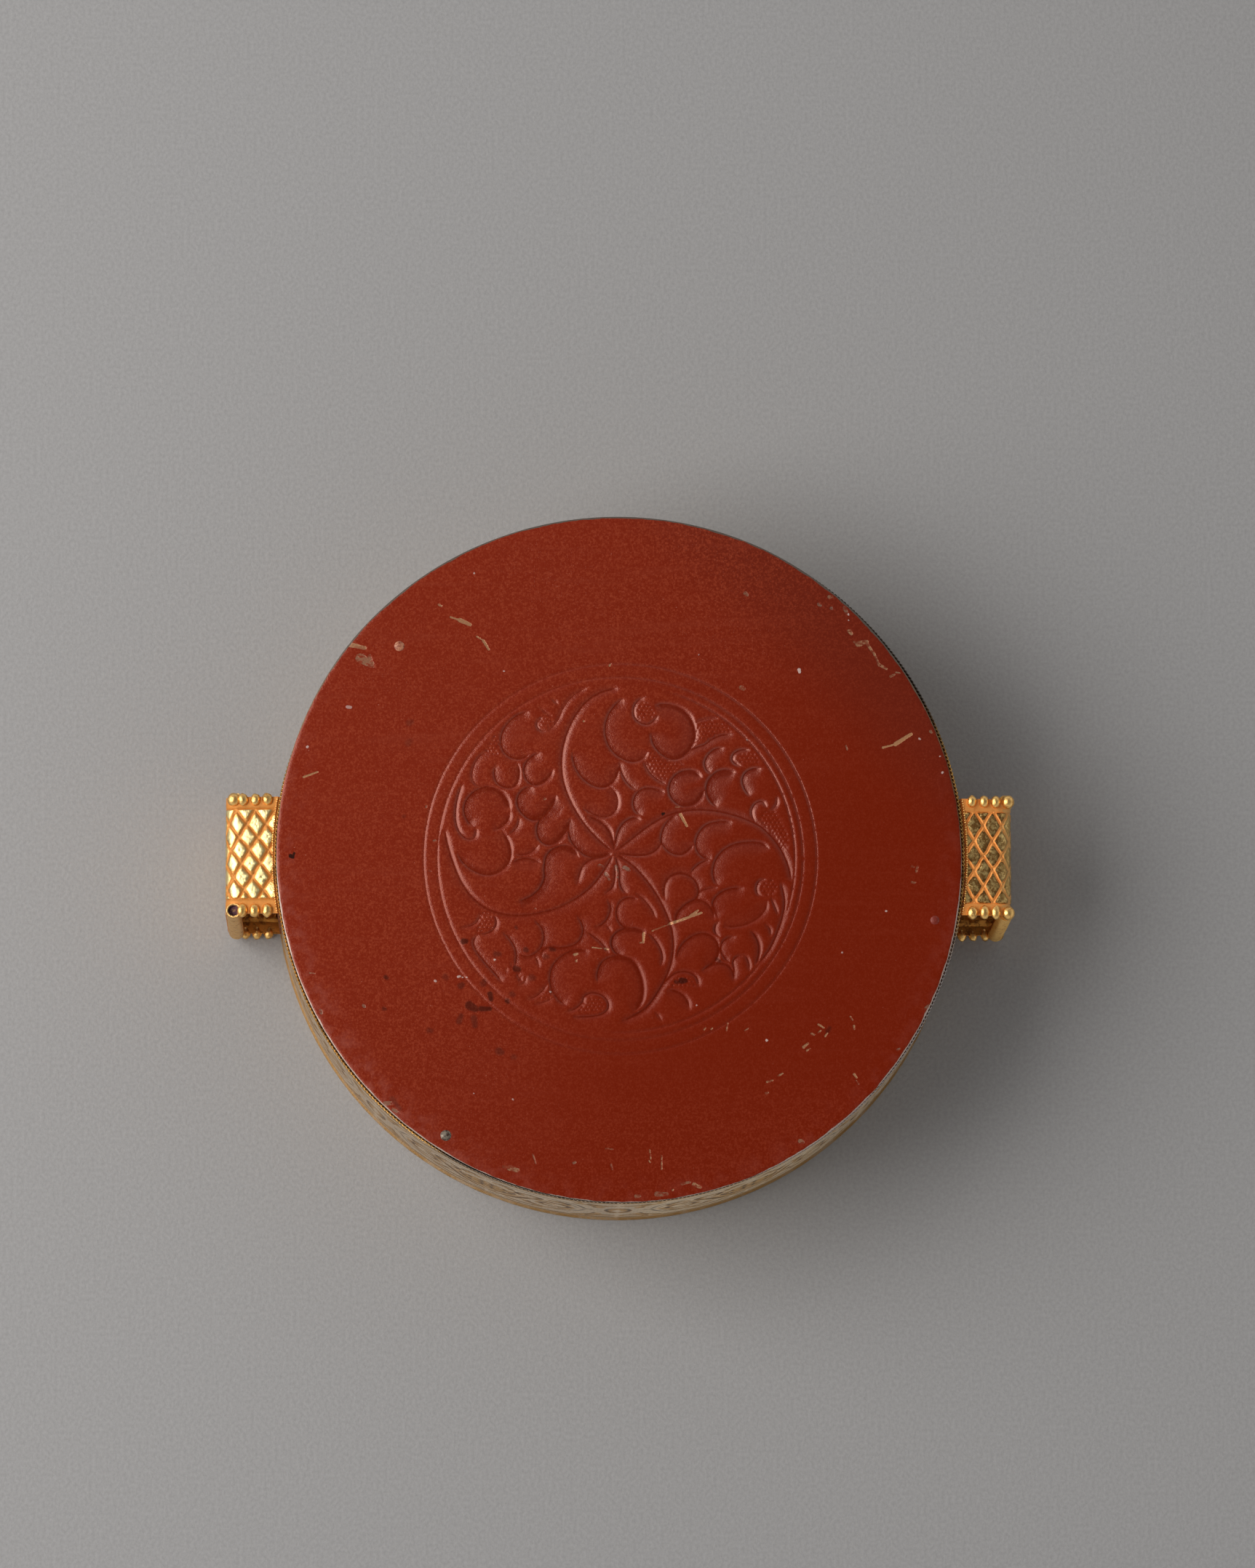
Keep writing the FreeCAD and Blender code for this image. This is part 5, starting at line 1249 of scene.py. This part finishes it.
def makeBeads(word, place, material):
    # grains along one open edge, and a column with a bigger bead at each end down the outer corner
    edge = (1 if place == "Top" else -1) * (1 if word == "right" else -1)
    hollow = word == "left" and place == "Bottom"
    own = loop[word]
    rng = random.Random(word + place)
    shape, shapeFaces = beadTemplate()
    vertices, faces, shades = [], [], []

    def addGrain(middle, size, lean, rough, up):
        bumps = np.array([noise.noise(Vector(p * 1.7) + Vector((len(vertices) * .37, edge * 7, up)))
                          for p in shape])
        grain = shape * size * (1 + rough * bumps[:, None])
        grain[:, [0, 1]] = grain[:, [0, 1]] @ np.array([[math.cos(lean), -math.sin(lean)],
                                                        [math.sin(lean), math.cos(lean)]])
        start = len(vertices)
        vertices.extend(grain + middle)
        faces.extend(tuple(start + i for i in face) for face in shapeFaces)
        shades.extend([0] * len(shape))

    ends = float(bandEnd(loop["beadMiddle"])) - 1.75
    for up in (1, -1):
        for number in range(3):
            lower = .3 if up < 0 and place == "Bottom" else 0
            rise = loop["beadRise"] if up > 0 else -.06
            middle = bandPlace(up * (ends - number * loop["beadPitch"]),
                               edge * (loop["beadMiddle"] + lower), rise)
            size = np.array([rng.uniform(.84, .93),
                             rng.uniform(1.04, 1.12) + (.16 if place == "Bottom" else 0),
                             rng.uniform(.8, .9)])
            addGrain(middle + [rng.uniform(-.06, .06), rng.uniform(-.05, .05), 0], size,
                     rng.uniform(-.14, .14), .14, up)
        if not (hollow and up > 0):
            z = loop["high"] - 1.0 if up > 0 else loop["low"] + 1.1
            addGrain(np.array([own["corner"], edge * (loop["beadMiddle"] + .05 + 1.1 * lower), z]),
                     np.array([1.15, 1.2, 1.15]), 0, .07, up)
    sides = 20
    low, high = loop["low"] + .9, loop["high"] + (.4 if hollow else -1)
    rows = int((high - low) / loop["ribPitch"] * 4)
    turn = np.linspace(0, 2 * math.pi, sides, endpoint=False)
    start = len(vertices)
    middleX, middleY = own["corner"] - .4 + .35 * hollow, edge * loop["beadMiddle"]
    rings = []
    for row in range(rows + 1):
        z = low + (high - low) * row / rows
        radius = loop["columnRadius"] + own["rib"] * math.sin(row * math.pi
                                                              / 2) + .05 * noise.noise(Vector((z
                                                                                               * .4, edge,
                                                                                               1)))
        rings.append((radius, z, 0))
    if hollow:  # the end of the rolled sheet, open: its hollow is closed by a shallow cup that carries painted shade
        rings += [(1.22, high + .12, .3), (.98, high + .14, .7), (.82, high + .05, 1), (.5, high - .02, 1),
                  (.1, high, .8)]
    for radius, z, shade in rings:
        for a in turn:
            x, splay = middleX + radius * math.cos(a), .4 * (1 - z / high) * (place == "Bottom")
            vertices.append((x, middleY + edge * splay + radius * math.sin(a), leanIn(x, z)))
            shades.append(shade)
    for row in range(len(rings) - 1):
        for k in range(sides):
            m = (k + 1) % sides
            a, b = start + row * sides, start + (row + 1) * sides
            faces.append((a + k, a + m, b + m, b + k))
    faces.append(tuple(start + k for k in range(sides))[::-1])
    faces.append(tuple(start + (len(rings) - 1) * sides + k for k in range(sides)))
    piece = meshPiece(word + place + "Beads", turnSide(vertices, word), faces, material, 45)
    addAttribute(piece, "shade", shades)
    return piece


def makeJoint(word, material):
    # a row of tiny grains where the band meets its base
    rng = random.Random(word)
    shape, shapeFaces = beadTemplate(7, 5)
    vertices, faces = [], []
    hw, grains = loop["halfWidth"], loop["grains"]
    for up in (1, -1):
        for number in range(grains):
            y = -hw + .25 + (2 * hw - .5) * (number + .5) / grains
            middle = bandPlace(up * (float(bandEnd(y)) - .06), y, .02)
            start = len(vertices)
            vertices.extend(shape * rng.uniform(.13, .22) + middle)
            faces.extend(tuple(start + i for i in face) for face in shapeFaces)
    return meshPiece(word + "LoopGrains", turnSide(vertices, word), faces, material, 60)


def makeLoopBase(word, material):
    # the curved sheet that the band is soldered to, cut out of a tube as tall as the loop
    side = 1 if word == "right" else -1
    shift, low, high = loop[word]["shift"], loop["low"], loop["high"]
    deselectAll()
    bpy.ops.mesh.primitive_cylinder_add(vertices=720, radius=loop["base"] * mm, depth=(high - low) * mm,
                                        calc_uvs=False, end_fill_type="NOTHING",
                                        location=(0, shift * mm, (high + low) / 2 * mm))
    piece = bpy.context.object
    piece.name = word + "LoopBase"
    bpy.ops.object.transform_apply(location=True)
    bpy.ops.object.mode_set(mode="EDIT")
    for place, normal in (((side * .03, 0, 0), (-side, 0, 0)),
                          ((0, (shift + loop["halfWidth"]) * mm, 0), (0, 1, 0)),
                          ((0, (shift - loop["halfWidth"]) * mm, 0), (0, -1, 0))):
        bpy.ops.mesh.select_all(action="SELECT")
        bpy.ops.mesh.bisect(plane_co=place, plane_no=normal, clear_outer=True)
    bpy.ops.object.mode_set(mode="OBJECT")
    piece.data.materials.append(material)
    applyModifier(piece, "SOLIDIFY", thickness=(loop["base"] - loop["wall"]) * mm, offset=-1, use_rim=True)
    shadeSmooth(piece, 40)
    print(word + " loop base:", len(piece.data.polygons), "faces")
    return piece


def makeLoops(gilt, inside, beadMetal, baseMetal):
    for word in ("right", "left"):
        finishPiece(makeBand(word, gilt, inside), "case", "gilt_loop", word + "_loop_band")
        for place in ("Top", "Bottom"):
            finishPiece(makeBeads(word, place, beadMetal), "case", "gilt_loop",
                        f"{word}_loop_{place.lower()}_beads")
        finishPiece(makeJoint(word, beadMetal), "case", "gilt_loop")
        finishPiece(makeLoopBase(word, baseMetal), "case", "gilt_loop", word + "_loop_base")


# Finishes of the metal

def makeWireMetal():
    material, tree, shader = newMaterial("tarnishedWire", Metallic=1.0)
    place = objectPlace(tree)
    spot = objectAxes(tree)
    shadedSide = ramp(tree, spot[1], .016, .03)  # painted shade: drawn dark along the upper side and below, where the wire lies under the plate's edge
    lowest = minus(tree, spot[1], ramp(tree, spot[0], -.005, .005, -.0505, -.018))
    shadedSide = larger(tree, shadedSide, ramp(tree, lowest, .002, -.002))
    flat = addNode(tree, "CombineXYZ", {"X": spot[0], "Y": spot[1]}).outputs[0]
    fromMiddle = addNode(tree, "VectorMath", {0: flat}, operation="LENGTH").outputs["Value"]
    shaded = ramp(tree, fromMiddle, .0598, .06005, .6, 0)  # painted shade in the gap under the plate
    shaded = times(tree, shaded, ramp(tree, spot[0], -.01, .01, 1, .25))
    worn = wornMetal(tree, place, metal=mixColour(tree, shadedSide, rgb(206, 160, 92), rgb(84, 74, 64)),
                     tarnish=mixColour(tree, shadedSide, rgb(124, 90, 48), rgb(52, 44, 38)), dirt=rgb(34, 22, 14),
                     amount=.6, size=5.0)
    colour = mixColour(tree, shaded, worn["colour"], rgb(34, 24, 18))
    pale = times(tree, ramp(tree, spot[0], .018, .03), ramp(tree, spot[1], -.008, -.018, 0, .85))
    feed(tree, shader["Base Color"], mixColour(tree, pale, colour, rgb(176, 166, 160)))
    feed(tree, shader["Roughness"], ramp(tree, worn["mask"], 0, 1, .25, .6))
    return material


def makeWallSilver():
    material, tree, shader = newMaterial("tarnishedSilver")
    place = objectPlace(tree)
    groove, gilt = readAttribute(tree, "groove"), readAttribute(tree, "gilt")
    silver = wornMetal(tree, place, metal=rgb(230, 205, 173), tarnish=rgb(192, 162, 127),
                       dirt=rgb(70, 48, 30), hollow=times(tree, ramp(tree, groove, .2, .85), .88),
                       amount=.5, size=6.0)
    gold = wornMetal(tree, place, metal=rgb(208, 162, 100), tarnish=rgb(166, 124, 78), dirt=rgb(70, 44, 26),
                     hollow=times(tree, ramp(tree, groove, .2, .85), .9), amount=.45, size=3.0)
    worn = patches(tree, place, 1.6, 5.0, 8.0)
    edge = plus(tree, gilt, times(tree, minus(tree, worn, .5), .9))
    mask = ramp(tree, edge, .42, .56)
    colour = mixColour(tree, mask, silver["colour"], gold["colour"])
    side = objectAxes(tree)[0]
    # most soiled at the left
    colour = mixColour(tree, ramp(tree, side, -.012, -.045, 0, .28), colour, rgb(132, 104, 76))
    # painted light: the wall is brightened from x = 0 to about 4 cm, as a fill light from below would light
    # it
    paintedFillLight = times(tree, ramp(tree, side, -.002, .008), ramp(tree, side, .03, .041, 1, 0))
    colour = mixColour(tree, paintedFillLight, colour, (1.26, 1.28, 1.24, 1), "MULTIPLY")
    feed(tree, shader["Base Color"], colour)
    feed(tree, shader["Metallic"], ramp(tree, groove, .3, 1, .6, .3))
    feed(tree, shader["Roughness"], ramp(tree, silver["mask"], 0, 1, .42, .58))
    grain = patches(tree, place, .5, 3.0, 4.0)
    bump(tree, shader, grain, .00004, .6)
    return material


def makeLoopGold():
    material, tree, shader = newMaterial("wornLoopGilding")
    place = objectPlace(tree)
    groove, diamond = readAttribute(tree, "groove"), readAttribute(tree, "diamond")
    sideX = objectAxes(tree)[0]
    shadedSide = mathNode(tree, "GREATER_THAN", sideX, 0)  # lit and shaded copies: the left loop is painted pale and bright as in full light, the right one with darker diamonds as in shade
    gold = wornMetal(tree, place, metal=mixColour(tree, shadedSide, rgb(218, 142, 62), rgb(248, 164, 80)),
                     tarnish=mixColour(tree, shadedSide, rgb(190, 114, 46), rgb(220, 132, 56)),
                     dirt=rgb(110, 60, 24), hollow=times(tree, ramp(tree, groove, .8, 1), .6),
                     amount=.45, size=2.5)
    silver = wornMetal(tree, place, metal=mixColour(tree, shadedSide, rgb(255, 230, 164), rgb(255, 216, 140)),
                       tarnish=mixColour(tree, shadedSide, rgb(230, 178, 92), rgb(148, 105, 55)),
                       dirt=mixColour(tree, shadedSide, rgb(224, 156, 68), rgb(66, 42, 20)),
                       hollow=ramp(tree, diamond, .75, .15, 0, .75),
                       amount=mathNode(tree, "MULTIPLY_ADD", shadedSide, .35, .45), size=.7)
    ragged = patches(tree, place, .6, seed=6.0)
    mask = ramp(tree, plus(tree, diamond, times(tree, minus(tree, ragged, .5), .3)), .08, .22)
    bend = ramp(tree, plus(tree, sideX, times(tree, minus(tree, ragged, .5), .006)), .0664, .0676)
    colour = mixColour(tree, mask, gold["colour"], silver["colour"])
    colour = mixColour(tree, times(tree, bend, .6), colour, rgb(196, 162, 100))
    feed(tree, shader["Base Color"], colour)
    feed(tree, shader["Metallic"], ramp(tree, mask, 0, 1, .4, .95))
    smoother = ramp(tree, silver["mask"], 0, 1, -.27, -.14)
    feed(tree, shader["Roughness"], mathNode(tree, "MULTIPLY_ADD", mask, smoother, .56))
    grain = patches(tree, place, .35, seed=4.0)
    height = times(tree, grain, ramp(tree, mask, 0, 1, .5, 1.4))
    bump(tree, shader, height, .00008, .9)
    return material


def makeBeadMetal():
    material, tree, shader = newMaterial("wornBeadGilding")
    place = objectPlace(tree)
    worn = wornMetal(tree, place, metal=rgb(255, 204, 124), tarnish=rgb(198, 128, 58), dirt=rgb(60, 38, 20),
                     amount=.55, size=.9)
    # painted shade inside the open end of the rolled sheet
    hollow = ramp(tree, readAttribute(tree, "shade"), .2, 1)
    feed(tree, shader["Base Color"], mixColour(tree, hollow, worn["colour"], rgb(70, 44, 48)))
    feed(tree, shader["Metallic"], ramp(tree, worn["mask"], 0, 1, 1.0, .75))
    feed(tree, shader["Roughness"], ramp(tree, worn["mask"], 0, 1, .3, .5))
    grain = patches(tree, place, .4, seed=2.0)
    bump(tree, shader, grain, .0001, .8)
    return material


def makeDarkGold(name, metal, tarnish, dirt, size, amount, rough):
    material, tree, shader = newMaterial(name)
    place = objectPlace(tree)
    worn = wornMetal(tree, place, metal=metal, tarnish=tarnish, dirt=dirt, amount=amount, size=size)
    feed(tree, shader["Base Color"], worn["colour"])
    feed(tree, shader["Metallic"], ramp(tree, worn["mask"], 0, 1, .95, .6))
    feed(tree, shader["Roughness"], ramp(tree, worn["mask"], 0, 1, rough, rough + .22))
    grain = patches(tree, place, .6, seed=2.0)
    bump(tree, shader, grain, .00006, .7)
    return material


def makeRivetMetal():
    # one head is bare, one is still under paint and one is worn to its tan ground
    material, tree, shader = newMaterial("rivetHeads")
    place = objectPlace(tree)
    x = objectAxes(tree)
    painted = mathNode(tree, "GREATER_THAN", x[0], .03)
    bare = mathNode(tree, "LESS_THAN", x[1], -.03)
    fine = patches(tree, place, .5)
    tan = mixColour(tree, ramp(tree, fine, .4, .6), rgb(196, 130, 96), rgb(132, 60, 38))
    steel = mixColour(tree, ramp(tree, fine, .38, .6), rgb(136, 124, 108), rgb(64, 44, 34))
    # the head under paint: red with pink patches, partly worn paint and partly a painted highlight on its
    # dome
    red = mixColour(tree, ramp(tree, fine, .55, .66), rgb(124, 32, 8), rgb(160, 80, 66))
    colour = mixColour(tree, painted, mixColour(tree, bare, tan, steel), red)
    feed(tree, shader["Base Color"], colour)
    feed(tree, shader["Metallic"], times(tree, bare, .4))
    feed(tree, shader["Roughness"], ramp(tree, fine, .3, .7, .42, .6))
    bump(tree, shader, fine, .00008, .8)
    return material


def dressNode(name, material):
    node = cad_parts[name]
    node.data.materials.clear()
    node.data.materials.append(material)


makeEdgeWire(makeWireMetal())
makeWall(makeWallSilver())
print("wire and wall done")
darkGold = makeDarkGold("tarnishedLoopBase", rgb(176, 96, 38), rgb(100, 52, 20), rgb(50, 28, 12),
                        2.5, .65, .5)
# the inside of the band is painted light and golden, a painted light in a place that lies in shade
loopInside = makeDarkGold("paintedLightLoopInside", rgb(226, 158, 74), rgb(126, 74, 26), rgb(50, 28, 12),
                          2.2, .65, .45)
makeLoops(makeLoopGold(), loopInside, makeBeadMetal(), darkGold)
print("loops done")
frontGold = makeDarkGold("gildedFront", rgb(188, 152, 104), rgb(172, 150, 124), rgb(70, 50, 30),
                         5.0, .66, .42)
frontSilver = makeDarkGold("frontWireSilver", rgb(206, 196, 178), rgb(140, 122, 98), rgb(60, 48, 34),
                           3.0, .5, .32)
bareCopper = makeDarkGold("bareCopperSheet", rgb(176, 112, 78), rgb(110, 66, 44), rgb(50, 30, 22),
                          9.0, .5, .42)
for nodeName, finish in (("front_plate", frontGold), ("front_boss", frontGold),
                         ("front_rim_wire", frontSilver),
                         ("front_ring_wire", frontSilver), ("back_flange", bareCopper),
                         ("back_rivets", makeRivetMetal())):
    dressNode(nodeName, finish)
print("front and cover dressed")


# Floor, light and camera

stage = {
    "floorSize": 3.0,
    "keyPlace": (-0.66, 0.05, 0.64),
    "keySize": 0.8,
    "keyPower": 7.6,
    "skyLevel": 0.66,
}

view = {
    "place": (-38.1, -195.1, 1660.5),      # millimetres
    "towards": (0.024, 0.127, -0.99161),
    "roll": 0.003,
    "lens": 215.4,
    "sensor": 36.0,
}


def makeFloor():
    deselectAll()
    bpy.ops.mesh.primitive_plane_add(size=stage["floorSize"], location=(0, 0, 0))
    floor = bpy.context.object
    floor.name = "floor"
    material, tree, shader = newMaterial("palePaper", Roughness=0.9)
    place = objectPlace(tree)
    fibre = patches(tree, place, .62, 5.0)
    wide = patches(tree, place, 90.0, 2.0, 1.0)
    colour = mixColour(tree, ramp(tree, fibre, .25, .75), rgb(157, 155, 154), rgb(171, 169, 168))
    colour = mixColour(tree, times(tree, wide, .1), colour, rgb(158, 153, 150))
    feed(tree, shader["Base Color"], colour)
    bump(tree, shader, fibre, .0002, .5)
    floor.data.materials.append(material)
    floor.select_set(False)


def makeLights():
    lamp = bpy.data.lights.new("softKey", "AREA")
    lamp.shape = "SQUARE"
    lamp.size = stage["keySize"]
    lamp.energy = stage["keyPower"]
    lamp.color = (1.0, 0.985, 0.97)
    key = bpy.data.objects.new("softKey", lamp)
    bpy.context.scene.collection.objects.link(key)
    key.location = stage["keyPlace"]
    key.rotation_euler = (Vector((0, 0, .02)) - key.location).to_track_quat("-Z", "Y").to_euler()
    world = bpy.data.worlds.new("softRoom")
    bpy.context.scene.world = world
    world.use_nodes = True
    tree = world.node_tree
    tree.nodes.clear()
    direction = addNode(tree, "TexCoord").outputs["Generated"]
    across = addNode(tree, "SeparateXYZ", {"Vector": direction}).outputs
    # darker overhead, so that flat polished faces don't mirror a pale ceiling
    level = minus(tree, 1.25, times(tree, across[2], 1.15))
    background = addNode(tree, "Background",
                         {"Color": (0.97, 0.985, 1.0, 1),
                          "Strength": times(tree, level, stage["skyLevel"])})
    tree.links.new(background.outputs[0], addNode(tree, "OutputWorld").inputs[0])


def makeCamera():
    forward = Vector(view["towards"]).normalized()
    right = (Vector((1, 0, 0)) - forward * forward.x).normalized()
    up = right.cross(forward)
    roll = view["roll"]
    turnedRight = right * math.cos(roll) + up * math.sin(roll)
    turnedUp = up * math.cos(roll) - right * math.sin(roll)
    camera = bpy.data.cameras.new("photoCamera")
    camera.sensor_fit = "VERTICAL"
    camera.sensor_height = view["sensor"]
    camera.sensor_width = view["sensor"] * 1725 / 2156
    camera.lens = view["lens"]
    camera.clip_start, camera.clip_end = 0.05, 20
    holder = bpy.data.objects.new("photoCamera", camera)
    bpy.context.scene.collection.objects.link(holder)
    turn = Matrix((turnedRight, turnedUp, -forward)).transposed().to_4x4()
    holder.matrix_world = Matrix.Translation(Vector(view["place"]) * mm) @ turn
    bpy.context.scene.camera = holder


makeFloor()
makeLights()
makeCamera()
bpy.context.scene.view_settings.view_transform = "Standard"
print("stage done")
